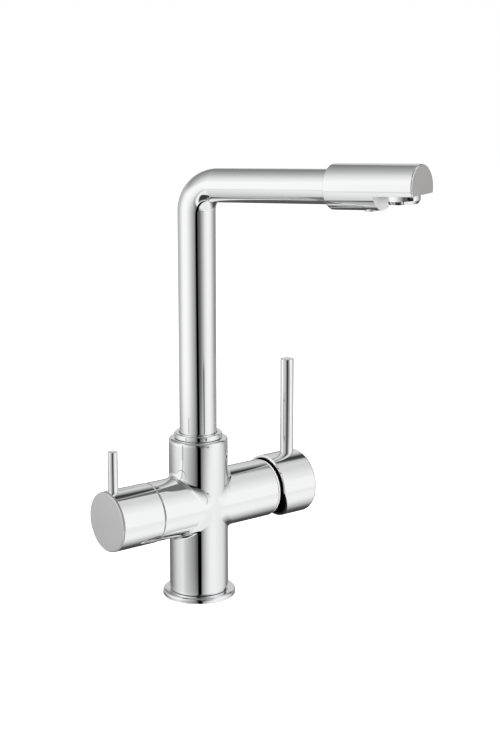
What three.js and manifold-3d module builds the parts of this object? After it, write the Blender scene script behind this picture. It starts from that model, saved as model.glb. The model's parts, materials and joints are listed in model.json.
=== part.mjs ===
// A three way filtered water tap: a cross-shaped casting that carries a swivelling L-shaped spout,
// a mixer lever on its right arm and a filtered water knob on its left arm.
// Millimetres, +Z up. The origin is the centre of the base, on the worktop. The arms lie along X,
// the user stands on the -Y side, and the spout is shown swivelled a little towards the lever.

import * as THREE from 'three';
import { mergeVertices } from 'three/addons/utils/BufferGeometryUtils.js';
import Module from 'manifold-3d';

// ---------------------------------------------------------------- Sizes that drive the object

// The cast body: one radius for the column and both arms.
const bodyRadius = 22.3;
const blendRadius = 4; // hollow blend where column and arms meet, at the sides
const blendSwell = 10; // its reach at the front and back, where the two surfaces touch
const armHeight = 72.4; // the arms' axis above the worktop
const bodyTop = 123.4;
const shoulder = 4.2; // rounding round the top of the column
const filterArmReach = 46; // from the column's axis to the left arm's end
const mixerArmReach = 60.8; // from the column's axis to the right arm's end
const armEdge = 0.6; // bevel round each arm's end

// The foot: ring, gasket and the well in which the three hoses and the stud are screwed.
const footRadius = 27.6;
const footHeight = 4.2;
const footRounding = 1.8;
const spigotRadius = 20; // the casting's spigot centres the ring
const wellRadius = 17;
const wellDepth = 40;
const gasketWidth = 2.8;
const gasketHeight = 1.3;
const gasketInset = 2.4; // from the ring's rim to the gasket
const hosePortRadius = 4.5;
const hosePortDepth = 12;
const studRadius = 3.4;
const studOffset = 13;
const filterPortOffset = 10;

// The spout.
const tubeRadius = 14;
const tubeWall = 1.5;
const legRadius = 12.3; // the tube narrows to this through its bend
const bendRadius = 20;
const spoutHeight = 312.8; // where the leg's axis crosses the column's axis
const legRise = 3.25; // degrees above the horizontal
const restSwivel = 18.8; // degrees from straight ahead towards the lever
const headStart = 116.2; // along the leg, from the column's axis
const headLength = 69;
const headRadius = 15.9;
const headEdge = 0.5;
const headOverlap = 15; // how far the tube goes into the head
const cutLength = 30.2; // length of the head whose underside is cut flat
const cutDrop = 4.8; // the flat's distance below the leg's axis

// How the spout turns in the body.
const socketRadius = 16.2;
const socketDepth = 33.4;
const shankBore = 9;
const shankGroove = 11.8; // bottom radius of the seal grooves
const sealThickness = 3.7;
const clipThickness = 1.8;
const bushLength = 4.5;
const collarRadius = 18.1;
const collarHeight = 3.9;
const collarThread = 16.5;
const collarThreadLength = 6.7;

// Aerator and filtered water outlet, under the head.
const aeratorRadius = 12;
const aeratorThread = 11;
const aeratorThreadLength = 5.7;
const aeratorFromEnd = 15.2; // its axis, from the head's end
const aeratorDepth = 5.9; // how far it stands below its seat
const aeratorWall = 1.3;
const nozzleRadius = 4.3;
const nozzleFromStep = 10; // its axis, from the step of the flat cut
const nozzleStandOut = 0.6;
const filterTubeRadius = 3.5;
const filterTubeWall = 1;
const filterTubeOffset = 5.5; // the tube's place below the leg's axis
const nippleRadius = 2.2;

// The mixer cartridge, and the trim ring that shows in the gap below the lever.
const cartridgeDepth = 34.8; // from the arm's mouth down to the cartridge's seat
const cartridgeRadius = 17.2;
const cartridgeBaseThickness = 3.7;
const ceramicThickness = 3;
const movingDiscThickness = 7.2;
const portCircle = 9.5;
const portRadius = 2.8;
const portAngle = 125; // hot and cold ports, from the mixed water port
const carrierRadius = 15;
const carrierFlange = 3;
const neckRadius = 10.8;
const neckLength = 10.6;
const pivotFromFlange = 3.1;
const pivotPinRadius = 1.5;
const stemWidth = 7.6;
const stemBall = 2.4;
const stemReach = 26.5; // from the pivot to the stem's outer end
const leverTilt = 22; // degrees from closed to fully open
const armThread = 19.2; // thread in the arm's mouth
const nutLength = 6.2;
const trimRadius = 21;

// The mixer lever.
const leverCapRadius = 24.8;
const leverCapWall = 1.9;
const leverGap = 3.45; // between arm and cap
const leverCapLength = 32.25;
const leverCapEnd = 4; // thickness of its closed end
const leverCapRounding = 2.2;
const leverBossRadius = 7.5;
const leverBossInset = 1.75; // how far the boss lies inside the cap's rim
const leverPinRadius = 5.2;
const leverPinLength = 74.8; // above the cap
const leverPinFromEnd = 10.7;
const grubRadius = 2.3;

// The filtered water valve and knob.
const filterDepth = 22; // from the arm's mouth down to the valve's seat
const valveRadius = 8.1;
const valveThread = 10;
const valveThreadLength = 7.6;
const valveHexFlats = 20;
const valveHexLength = 5.5;
const valveNeckRadius = 6.2;
const valveNeckLength = 6;
const filterDiscRadius = 6.5;
const filterDiscThickness = 2.5;
const spindleRadius = 4;
const spindleStandOut = 20; // beyond the arm
const knobRadius = 22.6;
const knobLength = 35.5;
const knobWall = 2.2;
const knobWeb = 3;
const knobHubRadius = 8;
const knobDiscThickness = 1.2;
const knobPinRadius = 3.75;
const knobPinLength = 30; // above the knob
const knobPinFromEnd = 6.5;

// Gaps.
const seat = 0.3; // between two pieces that rest on each other
const running = 0.35; // between a turning piece and what it turns in
const threadPlay = 0.4; // between a plain-drawn thread and its hole

// Small bevels.
const fineEdge = 0.3;
const plainEdge = 0.4;

// Fineness of the round surfaces.
const wideSides = 24; // a multiple of four, so that the casting's four limbs meet corner to corner
const middleSides = 18;
const smallSides = 12;
const drillSides = 8;
const blendSteps = 3;
const bendSteps = 7;

// ---------------------------------------------------------------- Places that follow from them

const weldDistance = 1e-4;
const across = Math.PI / 2;
const radians = THREE.MathUtils.degToRad;

const stepAt = headStart + headLength - cutLength;
const headEnd = headStart + headLength;
const bodyBottom = footHeight + seat;
const socketFloor = bodyTop - socketDepth;
const collarBottom = bodyTop + seat - collarThreadLength;
const collarBore = tubeRadius + running;

const cartridgeSeat = mixerArmReach - cartridgeDepth;
const baseFrom = cartridgeSeat + 0.5;
const fixedDiscFrom = baseFrom + cartridgeBaseThickness + seat;
const movingDiscFrom = fixedDiscFrom + ceramicThickness + seat;
const carrierFrom = movingDiscFrom + movingDiscThickness + running;
const neckFrom = carrierFrom + carrierFlange;
const pivotAt = neckFrom + pivotFromFlange;
const housingTo = pivotAt;
const nutFrom = housingTo + seat;
const coverFrom = nutFrom + nutLength + seat;
const ballAt = movingDiscFrom + 4.4;
const capFrom = mixerArmReach + leverGap;
const capTo = capFrom + leverCapLength;

const filterSeat = filterArmReach - filterDepth;
const spindleReach = filterArmReach + spindleStandOut;
const valveFrom = filterSeat + 2;
const valveThreadFrom = valveFrom + 10.3;
const valveHexFrom = filterArmReach + 0.6;
const valveNeckFrom = valveHexFrom + valveHexLength;
const valveTo = valveNeckFrom + valveNeckLength;
const knobFrom = filterArmReach + 0.4;
const knobTo = knobFrom + knobLength;

// ---------------------------------------------------------------- Shaping tools

const solids = await Module();
solids.setup();

/** The same surface with its shared corners merged and its collapsed triangles left out. */
function welded(geometry) {
  const bare = new THREE.BufferGeometry();
  bare.setAttribute('position', geometry.attributes.position.clone());
  if (geometry.index) bare.setIndex(geometry.index.clone());
  const merged = mergeVertices(bare, weldDistance);
  const corners = merged.index.array;
  const kept = [];
  for (let i = 0; i < corners.length; i += 3) {
    const [a, b, c] = corners.slice(i, i + 3);
    if (a !== b && b !== c && c !== a) kept.push(a, b, c);
  }
  merged.setIndex(kept);
  return merged;
}

function solidOf(geometry) {
  const mesh = welded(geometry);
  return new solids.Manifold(
    new solids.Mesh({
      numProp: 3,
      vertProperties: Float32Array.from(mesh.attributes.position.array),
      triVerts: Uint32Array.from(mesh.index.array),
    }),
  );
}

function geometryOf(solid) {
  const mesh = solid.getMesh();
  const geometry = new THREE.BufferGeometry();
  geometry.setAttribute('position', new THREE.BufferAttribute(mesh.vertProperties, 3));
  geometry.setIndex(new THREE.BufferAttribute(mesh.triVerts, 1));
  return geometry;
}

/** The geometry with each of the others cut away from it. */
function cut(geometry, ...tools) {
  const rest = tools.reduce((solid, tool) => solid.subtract(solidOf(tool)), solidOf(geometry));
  return geometryOf(rest);
}

/** The geometries joined into one body; they overlap each other. */
function joined(geometry, ...others) {
  const whole = others.reduce((solid, other) => solid.add(solidOf(other)), solidOf(geometry));
  return geometryOf(whole);
}

/** A skin over rows of points. Rows run along the piece, points run round it. */
function skin(rows, { loop = false, tip = null } = {}) {
  const corners = [];
  const triangle = (a, b, c) => {
    for (const point of [a, b, c]) corners.push(point.x, point.y, point.z);
  };
  const strips = loop ? rows.length : rows.length - 1;
  for (let i = 0; i < strips; i++) {
    const near = rows[i];
    const far = rows[(i + 1) % rows.length];
    for (let k = 0; k < near.length; k++) {
      const next = (k + 1) % near.length;
      triangle(near[k], near[next], far[next]);
      triangle(near[k], far[next], far[k]);
    }
  }
  if (tip) {
    const last = rows[rows.length - 1];
    last.forEach((point, k) => triangle(point, last[(k + 1) % last.length], tip));
  }
  const geometry = new THREE.BufferGeometry();
  geometry.setAttribute('position', new THREE.Float32BufferAttribute(corners, 3));
  return geometry;
}

/** A piece turned about Z. The outline's [radius, height] points run up its outer side. */
function turned(outline, sides = middleSides) {
  const points = outline.map(([radius, height]) => new THREE.Vector2(radius, height));
  return new THREE.LatheGeometry(points, sides).rotateX(across);
}

/** Points on an arc of an outline, from one angle to another in degrees. */
function arc(radius, height, size, from, to, steps = blendSteps) {
  return Array.from({ length: steps + 1 }, (_, i) => {
    const angle = radians(from + ((to - from) * i) / steps);
    return [radius + size * Math.cos(angle), height + size * Math.sin(angle)];
  });
}

/** A solid rod along Z with bevelled ends. */
function rod(radius, from, to, sides = smallSides, edge = 0) {
  const bottom = edge ? [[radius - edge, from], [radius, from + edge]] : [[radius, from]];
  const top = edge ? [[radius, to - edge], [radius - edge, to]] : [[radius, to]];
  return turned([[0, from], ...bottom, ...top, [0, to]], sides);
}

/** A plain ring round Z. */
function ring(inner, outer, from, to, sides = middleSides) {
  return turned([[inner, from], [outer, from], [outer, to], [inner, to], [inner, from]], sides);
}

/** A round-section seal round Z. */
function sealRing(middle, thickness, height, sides = middleSides) {
  return turned(arc(middle, height, thickness / 2, 0, 360, 6), sides);
}

function box(width, depth, height, x, y, z) {
  return new THREE.BoxGeometry(width, depth, height).translate(x, y, z);
}

// ---------------------------------------------------------------- Materials

function finish(color, roughness, metalness) {
  return new THREE.MeshStandardMaterial({ color, roughness, metalness });
}

const chrome = () => finish(0xe6e8ea, 0.05, 1);
const satin = () => finish(0xb9b9b7, 0.4, 1);
const brass = () => finish(0xc9a24c, 0.3, 1);
const steel = () => finish(0xbfc2c4, 0.3, 1);
const rubber = () => finish(0x151515, 0.7, 0);
const whitePlastic = () => finish(0xececea, 0.4, 0);
const greyPlastic = () => finish(0x8d9092, 0.5, 0);
const ceramic = () => finish(0xf4f2ea, 0.2, 0);

// ---------------------------------------------------------------- Groups

const tap = new THREE.Group();

// In both side groups +Z points outwards along the arm and +X points up.
const mixerSide = new THREE.Group();
mixerSide.position.z = armHeight;
mixerSide.rotation.set(0, across, Math.PI);

const filterSide = new THREE.Group();
filterSide.position.z = armHeight;
filterSide.rotation.y = -across;

// In the spout's group +X points the way the spout does.
const spout = new THREE.Group();
spout.rotation.z = radians(restSwivel) - across;

// In the leg's group +Z runs out along the leg and +X points down.
const leg = new THREE.Group();
leg.position.z = spoutHeight;
leg.rotation.y = across - radians(legRise);

// In the aerator's group +Z points down, square to the leg.
const aerator = new THREE.Group();
aerator.position.z = headEnd - aeratorFromEnd;
aerator.rotation.y = across;

leg.add(aerator);
spout.add(leg);
tap.add(mixerSide, filterSide, spout);

function place(name, geometry, material, group = tap) {
  const mesh = new THREE.Mesh(welded(geometry), material);
  mesh.name = name;
  group.add(mesh);
  return mesh;
}

// ---------------------------------------------------------------- The cast body

/** How far a point of the blend's curve lies towards its own limb and towards the other one. */
function blendShares(t) {
  const pull = [0, 0.3, 0.62]; // how near the curve's control points lie to the corner
  const weight = (i) => [1, 5, 10, 10, 5, 1][i] * t ** i * (1 - t) ** (5 - i);
  const own = pull.reduce((sum, near, i) => sum + (1 - near) * weight(5 - i), 0);
  const other = pull.reduce((sum, near, i) => sum + (1 - near) * weight(i), 0);
  return [own, other];
}

/**
 * One limb of the cross, from the middle of its blends to its tip. Every upright plane across
 * the front cuts column and arm at right angles, and a smooth curve rounds the corner between
 * them. The curve starts further from the corner towards the front and back, where the two
 * surfaces touch, so the blend runs out there without an edge.
 */
function limb(axis, side, stations) {
  const front = new THREE.Vector3(0, 1, 0);
  const angles = Array.from({ length: wideSides }, (_, k) => (2 * Math.PI * k) / wideSides);
  const onRow = (build) => angles.map((angle) => build(Math.cos(angle), Math.sin(angle)));
  const mix = (u, v, w) =>
    axis.clone().multiplyScalar(u).addScaledVector(side, v).addScaledVector(front, w);

  const rows = [];
  for (let step = 0; step <= blendSteps; step++) {
    const [own, other] = blendShares(0.5 + step / (2 * blendSteps));
    rows.push(
      onRow((c, s) => {
        const off = Math.abs(c);
        const reach = blendRadius * off + blendSwell * (1 - off) ** 1.5;
        if (off < 1e-9) return mix((own - other) * reach, 0, bodyRadius * s);
        const toSide = bodyRadius * c + Math.sign(c) * other * reach;
        return mix(bodyRadius * off + own * reach, toSide, bodyRadius * s);
      }),
    );
  }
  for (const [radius, distance] of stations) {
    rows.push(onRow((c, s) => mix(distance, radius * c, radius * s)));
  }
  const [, tipDistance] = stations[stations.length - 1];
  return skin(rows, { tip: mix(tipDistance, 0, 0) });
}

/** The four limbs stitched together, before boring. Its origin is where the axes cross. */
function crossBlank() {
  const x = new THREE.Vector3(1, 0, 0);
  const z = new THREE.Vector3(0, 0, 1);
  const top = bodyTop - armHeight;
  const bottom = armHeight - bodyBottom;
  const bevelled = (end) => [[bodyRadius, end - armEdge], [bodyRadius - armEdge, end]];
  const limbs = [
    limb(z, x, arc(bodyRadius - shoulder, top - shoulder, shoulder, 0, 90)),
    limb(x, z.clone().negate(), bevelled(mixerArmReach)),
    limb(x.clone().negate(), z, bevelled(filterArmReach)),
    limb(z.clone().negate(), x.clone().negate(), [
      [bodyRadius, bottom],
      [spigotRadius, bottom],
      [spigotRadius, armHeight - 2 * seat],
    ]),
  ];
  const corners = limbs.flatMap((part) => Array.from(part.attributes.position.array));
  const geometry = new THREE.BufferGeometry();
  geometry.setAttribute('position', new THREE.Float32BufferAttribute(corners, 3));
  return geometry;
}

/** Places of the cartridge's ports round the arm's axis: name, height above it and side. */
const cartridgePorts = [
  ['mixed', 0],
  ['hot', portAngle],
  ['cold', -portAngle],
].map(([name, angle]) => ({
  name,
  up: portCircle * Math.cos(radians(angle)),
  side: portCircle * Math.sin(radians(angle)),
}));

/** The bores of the body, in the casting's own frame. */
function bodyBores() {
  const past = 2; // how far a bore runs out past a surface
  const standing = (radius, x, y, from, to) =>
    rod(radius, from - armHeight, to - armHeight, drillSides).translate(x, y, 0);
  const toRight = (radius, up, y, from, to) =>
    rod(radius, from, to, drillSides).rotateY(across).translate(0, y, up);
  const toLeft = (radius, from, to, sides) => rod(radius, from, to, sides).rotateY(-across);
  const portTop = wellDepth + hosePortDepth;
  const channel = 3;
  const [mixed, hot, cold] = cartridgePorts;
  const hotX = 5;
  const mixedX = 10;
  const chamberX = filterSeat + 4;
  const slant = Math.atan2(portCircle, chamberX);
  const bores = [
    rod(wellRadius, -armHeight - past, wellDepth - armHeight, middleSides),
    standing(studRadius, studOffset, 0, wellDepth - past, portTop),
    standing(hosePortRadius, -filterPortOffset, 0, wellDepth - past, portTop),
    standing(channel, -filterPortOffset, 0, portTop - past, armHeight),
    toLeft(channel, filterPortOffset - channel / 2, filterSeat + past, drillSides),
    rod(socketRadius, socketFloor - armHeight, bodyTop + past - armHeight, middleSides),
    rod(collarThread + seat, collarBottom - 0.5 - armHeight, bodyTop + past - armHeight, middleSides),
    standing(nippleRadius + 2.1, 0, 0, socketFloor - 8, socketFloor + past),
    toRight(channel, mixed.up, 0, mixedX, cartridgeSeat + past),
    standing(channel, mixedX, 0, armHeight + mixed.up - channel / 2, socketFloor + past),
    rod(channel / 1.5, 0, chamberX, drillSides).rotateY(-across + slant),
    toLeft(valveRadius + threadPlay, filterSeat, filterArmReach, middleSides),
    toLeft(valveThread + threadPlay, valveThreadFrom - seat, filterArmReach, middleSides),
    toLeft(valveThread + 2.8, filterArmReach - 2, filterArmReach + past, middleSides),
    rod(cartridgeRadius + 0.6, cartridgeSeat, mixerArmReach, middleSides).rotateY(across),
    rod(armThread, housingTo - 1.5, mixerArmReach + past, middleSides).rotateY(across),
  ];
  for (const port of [hot, cold]) {
    bores.push(standing(hosePortRadius, hotX, port.side, wellDepth - past, portTop));
    bores.push(standing(channel, hotX, port.side, portTop - past, armHeight + port.up));
    bores.push(toRight(channel, port.up, port.side, hotX - channel / 2, cartridgeSeat + past));
  }
  return bores;
}

const casting = place('body_casting', cut(crossBlank(), ...bodyBores()), chrome());
casting.position.z = armHeight;

// ---------------------------------------------------------------- The foot

const gasketOuter = footRadius - gasketInset;
const gasketInner = gasketOuter - gasketWidth;
const footBore = spigotRadius + seat;

place(
  'base_ring',
  turned(
    [
      [footBore, 0],
      [gasketInner - seat, 0],
      [gasketInner - seat, gasketHeight + seat],
      [gasketOuter + seat, gasketHeight + seat],
      [gasketOuter + seat, 0],
      [footRadius - plainEdge, 0],
      [footRadius, plainEdge],
      ...arc(footRadius - footRounding, footHeight - footRounding, footRounding, 0, 90),
      [footBore, footHeight],
      [footBore, 0],
    ],
    wideSides,
  ),
  chrome(),
);
place('base_gasket', ring(gasketInner, gasketOuter, 0, gasketHeight, wideSides), rubber());

// ---------------------------------------------------------------- Collar, bushes and nipple

const collarTop = bodyTop + seat + collarHeight;
const collarEdge = 1;

place(
  'spout_collar',
  turned(
    [
      [collarBore, collarBottom],
      [collarThread, collarBottom],
      [collarThread, bodyTop + seat],
      [collarRadius, bodyTop + seat],
      ...arc(collarRadius - collarEdge, collarTop - collarEdge, collarEdge, 0, 90, 2),
      [collarBore, collarTop],
      [collarBore, collarBottom],
    ],
    wideSides,
  ),
  chrome(),
);

const bushOuter = socketRadius - seat;
const bushTop = collarBottom - seat;
place(
  'spout_bush_upper',
  ring(collarBore, bushOuter, bushTop - bushLength, bushTop),
  whitePlastic(),
);
const lowBushFrom = socketFloor + seat;
place(
  'spout_bush_lower',
  ring(collarBore, bushOuter, lowBushFrom, lowBushFrom + bushLength),
  whitePlastic(),
);

const nippleTop = socketFloor + 13;
const nippleBottom = socketFloor - 7.6;
const nippleThread = nippleRadius + 1.8;
const nippleBore = nippleRadius - 1;
place(
  'filtered_water_nipple',
  turned(
    [
      [nippleBore, nippleBottom],
      [nippleThread, nippleBottom],
      [nippleThread, socketFloor],
      [nippleRadius, socketFloor],
      [nippleRadius, nippleTop],
      [nippleBore, nippleTop],
      [nippleBore, nippleBottom],
    ],
    smallSides,
  ),
  brass(),
);

// ---------------------------------------------------------------- The spout's lower end

const shankFrom = socketFloor + 0.8;
const clipTo = bushTop - bushLength - 0.5;
const clipFrom = clipTo - clipThickness;
const upperSealAt = clipFrom - 5;
const lowerSealAt = upperSealAt - 6;
const grooveHalf = sealThickness / 2 + 0.15;
const shankTo = collarBottom + 0.1;
const shankSpigot = tubeRadius - tubeWall - seat;
const clipGroove = shankGroove + 0.6;
const shankTop = shankTo + 9; // the spigot goes this far up into the tube

/** Outline points of a square groove in a shaft. */
function groove(shaft, bottom, from, to) {
  return [[shaft, from], [bottom, from], [bottom, to], [shaft, to]];
}

place(
  'spout_shank',
  turned(
    [
      [shankBore, shankFrom],
      [tubeRadius - plainEdge, shankFrom],
      [tubeRadius, shankFrom + plainEdge],
      ...groove(tubeRadius, shankGroove, lowerSealAt - grooveHalf, lowerSealAt + grooveHalf),
      ...groove(tubeRadius, shankGroove, upperSealAt - grooveHalf, upperSealAt + grooveHalf),
      ...groove(tubeRadius, clipGroove, clipFrom - 0.35, clipTo + 0.35),
      [tubeRadius, shankTo],
      [shankSpigot, shankTo],
      [shankSpigot, shankTop],
      [shankBore, shankTop],
      [shankBore, shankFrom],
    ],
    middleSides,
  ),
  brass(),
  spout,
);

const sealMiddle = socketRadius - seat - sealThickness / 2;
for (const [name, height] of [['upper', upperSealAt], ['lower', lowerSealAt]]) {
  place(`spout_oring_${name}`, sealRing(sealMiddle, sealThickness, height), rubber(), spout);
}

place(
  'spout_circlip',
  cut(
    ring(clipGroove + seat, socketRadius - 0.5, clipFrom, clipTo),
    box(2 * socketRadius, 7, 3 * clipThickness, -socketRadius, 0, clipFrom),
  ),
  steel(),
  spout,
);

// ---------------------------------------------------------------- The spout's tube

const bendAngle = across - radians(legRise);
const bendTangent = bendRadius * Math.tan(bendAngle / 2);
const bendFrom = spoutHeight - bendTangent;
const bendTo = bendTangent; // where the straight leg starts, along the leg
const tubeTo = headStart + headOverlap;

/** A ring of points round the spout's centre line, shifted towards the inside of the bend. */
function ringAt(height, alongLeg, share, radius, shift, sides) {
  const angle = bendAngle * share;
  const centre = new THREE.Vector3(
    bendRadius * (1 - Math.cos(angle)) + alongLeg * Math.sin(angle),
    0,
    height + bendRadius * Math.sin(angle) + alongLeg * Math.cos(angle),
  );
  const inward = new THREE.Vector3(Math.cos(angle), 0, -Math.sin(angle));
  return Array.from({ length: sides }, (_, k) => {
    const around = (2 * Math.PI * k) / sides;
    return centre
      .clone()
      .addScaledVector(inward, shift + radius * Math.cos(around))
      .setY(radius * Math.sin(around));
  });
}

/** Stations along the spout's centre line: up the column, round the bend and out along the leg. */
function spoutStations(from, to, heights = []) {
  const upright = [from, ...heights].map((height) => ({ height, out: 0, share: 0 }));
  const bend = Array.from({ length: bendSteps + 1 }, (_, i) => ({
    height: bendFrom,
    out: 0,
    share: i / bendSteps,
  }));
  return [...upright, ...bend, { height: bendFrom, out: to - bendTo, share: 1 }];
}

/** A pipe along the spout, with its outer radius, wall and shift given at each station. */
function pipe(stations, sides, shape) {
  const rows = (inside) =>
    stations.map((at) => {
      const { radius, wall, shift = 0 } = shape(at);
      return ringAt(at.height, at.out, at.share, radius - (inside ? wall : 0), shift, sides);
    });
  return skin([...rows(false), ...rows(true).reverse()], { loop: true });
}

const eased = (share) => share * share * (3 - 2 * share);

place(
  'spout_tube',
  pipe(spoutStations(shankTo + seat, tubeTo), wideSides, ({ share }) => ({
    radius: tubeRadius + (legRadius - tubeRadius) * eased(share),
    wall: tubeWall,
  })),
  chrome(),
  spout,
);

const driftFrom = nippleTop + 8;
const driftTo = driftFrom + 60;
const driftHeights = [0, 1, 2].map((i) => driftFrom + ((driftTo - driftFrom) * i) / 2);
place(
  'filtered_water_tube',
  pipe(
    spoutStations(socketFloor + 2, stepAt - nozzleFromStep - nozzleRadius + 0.1, driftHeights),
    drillSides,
    ({ height, share }) => {
      const drift = THREE.MathUtils.clamp((height - driftFrom) / (driftTo - driftFrom), 0, 1);
      const shift = filterTubeOffset * (share > 0 ? 1 : eased(drift));
      return { radius: filterTubeRadius, wall: filterTubeWall, shift };
    },
  ),
  whitePlastic(),
  spout,
);

// ---------------------------------------------------------------- The spout's head

const tubeSeat = tubeTo + seat;
const aeratorAt = headEnd - aeratorFromEnd;
const nozzleAt = stepAt - nozzleFromStep;
const aeratorRoof = cutDrop - aeratorThreadLength - 1.7;
const waterBore = 4.5;
const filterBore = filterTubeRadius + 0.3;
const nozzleStem = nozzleRadius - 1;

/** The head: a sleeve over the tube's end, cut flat below, bored for both waters. */
function headBody() {
  const sleeve = turned(
    [
      [0, tubeSeat],
      [legRadius + seat, tubeSeat],
      [legRadius + seat, headStart],
      [headRadius - headEdge, headStart],
      [headRadius, headStart + headEdge],
      [headRadius, headEnd - headEdge],
      [headRadius - headEdge, headEnd],
      [0, headEnd],
    ],
    wideSides,
  );
  const downwards = (geometry, at) => geometry.rotateY(across).translate(0, 0, at);
  const flat = 2 * headRadius;
  return cut(
    sleeve,
    box(flat, flat, flat, cutDrop + headRadius, 0, stepAt + headRadius),
    downwards(rod(aeratorThread + seat, aeratorRoof, headRadius, middleSides), aeratorAt),
    rod(waterBore, tubeSeat - 1, aeratorAt).translate(aeratorRoof - waterBore / 2, 0, 0),
    rod(filterBore, tubeSeat - 1, nozzleAt).translate(filterTubeOffset, 0, 0),
    downwards(rod(nozzleStem + seat, filterTubeOffset, headRadius + 1), nozzleAt),
    downwards(rod(nozzleRadius + seat, headRadius - 1.7, headRadius + 1), nozzleAt),
  );
}

place('spout_head', headBody(), chrome(), leg);

const nozzleSeat = headRadius - 1.4;
const nozzleFrom = nozzleSeat - 5;
const nozzleTo = headRadius + nozzleStandOut;
const nozzleBore = nozzleStem - 1.2;
const nozzle = place(
  'filtered_outlet_nozzle',
  turned(
    [
      [nozzleBore, nozzleFrom],
      [nozzleStem, nozzleFrom],
      [nozzleStem, nozzleSeat],
      [nozzleRadius, nozzleSeat],
      [nozzleRadius, nozzleTo - plainEdge],
      [nozzleRadius - plainEdge, nozzleTo],
      [nozzleBore + 2 * fineEdge, nozzleTo],
      [nozzleBore, nozzleTo - 2 * plainEdge],
      [nozzleBore, nozzleFrom],
    ],
    smallSides,
  ),
  chrome(),
  leg,
);
nozzle.position.z = nozzleAt;
nozzle.rotation.y = across;

// ---------------------------------------------------------------- The aerator

const threadTo = cutDrop + seat;
const threadFrom = threadTo - aeratorThreadLength - seat;
const aeratorTo = threadTo + aeratorDepth;
const insertRadius = aeratorThread - aeratorWall - seat;
const lipRadius = insertRadius - 1;
const lipHeight = 1.1;
const aeratorTaper = 2.4; // length of its narrowed lower end
const washerFrom = aeratorRoof + seat;

place(
  'aerator_washer',
  ring(aeratorThread - 3.4, aeratorThread - 0.2, washerFrom, threadFrom - seat),
  rubber(),
  aerator,
);
place(
  'aerator_housing',
  turned(
    [
      [insertRadius + seat, threadFrom],
      [aeratorThread, threadFrom],
      [aeratorThread, threadTo],
      [aeratorRadius, threadTo],
      [aeratorRadius, aeratorTo - aeratorTaper],
      [aeratorRadius - aeratorWall - fineEdge, aeratorTo],
      [lipRadius, aeratorTo],
      [lipRadius, aeratorTo - lipHeight],
      [insertRadius + seat, aeratorTo - lipHeight],
      [insertRadius + seat, threadFrom],
    ],
    middleSides,
  ),
  chrome(),
  aerator,
);

/** A cup whose floor is a honeycomb of six-sided holes. */
function honeycombInsert() {
  const floorTo = aeratorTo - lipHeight - seat;
  const floorFrom = floorTo - 1.6;
  const from = threadFrom + seat;
  const wall = 1.2;
  const cup = turned([
    [insertRadius - wall, from],
    [insertRadius, from],
    [insertRadius, floorTo],
    [0, floorTo],
    [0, floorFrom],
    [insertRadius - wall, floorFrom],
    [insertRadius - wall, from],
  ]);
  const pitch = 3.1;
  const holes = [];
  for (let column = -2; column <= 2; column++) {
    for (let row = -2; row <= 2; row++) {
      const x = pitch * (column + row / 2);
      const y = (pitch * row * Math.sqrt(3)) / 2;
      if (Math.hypot(x, y) < 2.1 * pitch) {
        holes.push(rod(1.2, floorFrom - 1, floorTo + 1, 6).translate(x, y, 0));
      }
    }
  }
  return cut(cup, ...holes);
}

place('aerator_insert', honeycombInsert(), greyPlastic(), aerator);

// ---------------------------------------------------------------- The mixer cartridge

const portSeal = portRadius + 1.4;

for (const { name, up, side } of cartridgePorts) {
  // The arm's frame is turned half round, so the side of a port changes sign.
  const seal = ring(portRadius + 0.2, portSeal, cartridgeSeat + 0.2, baseFrom + 0.9, smallSides);
  place(`cartridge_seal_${name}`, seal.translate(up, -side, 0), rubber(), mixerSide);
}

/** A disc drilled through at the three ports. */
function portedDisc(radius, from, to) {
  const drills = cartridgePorts.map(({ up, side }) =>
    rod(portRadius, from - 1, to + 1, smallSides).translate(up, -side, 0),
  );
  return cut(rod(radius, from, to, middleSides), ...drills);
}

const sealPockets = cartridgePorts.map(({ up, side }) =>
  rod(portSeal + seat, baseFrom - 1, baseFrom + 1.2, smallSides).translate(up, -side, 0),
);
const fixedDiscRadius = portCircle + portRadius + 1.4;
place(
  'cartridge_base',
  cut(portedDisc(cartridgeRadius, baseFrom, fixedDiscFrom - seat), ...sealPockets),
  whitePlastic(),
  mixerSide,
);
place(
  'cartridge_fixed_disc',
  portedDisc(fixedDiscRadius, fixedDiscFrom, fixedDiscFrom + ceramicThickness),
  ceramic(),
  mixerSide,
);

const movingDiscRadius = 10.5;
place(
  'cartridge_moving_disc',
  cut(
    rod(movingDiscRadius, movingDiscFrom, movingDiscFrom + movingDiscThickness, middleSides),
    rod(movingDiscRadius - 2.5, movingDiscFrom - 1, movingDiscFrom + 0.9, middleSides),
    rod(stemBall + 0.5, ballAt - stemBall - 0.5, carrierFrom),
  ),
  ceramic(),
  mixerSide,
);

const housingBore = carrierRadius + 0.4;
place(
  'cartridge_housing',
  turned(
    [
      [housingBore, fixedDiscFrom],
      [cartridgeRadius, fixedDiscFrom],
      [cartridgeRadius, housingTo],
      [neckRadius + running, housingTo],
      [neckRadius + running, neckFrom + 0.4],
      [housingBore, neckFrom + 0.4],
      [housingBore, fixedDiscFrom],
    ],
    middleSides,
  ),
  whitePlastic(),
  mixerSide,
);

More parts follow.
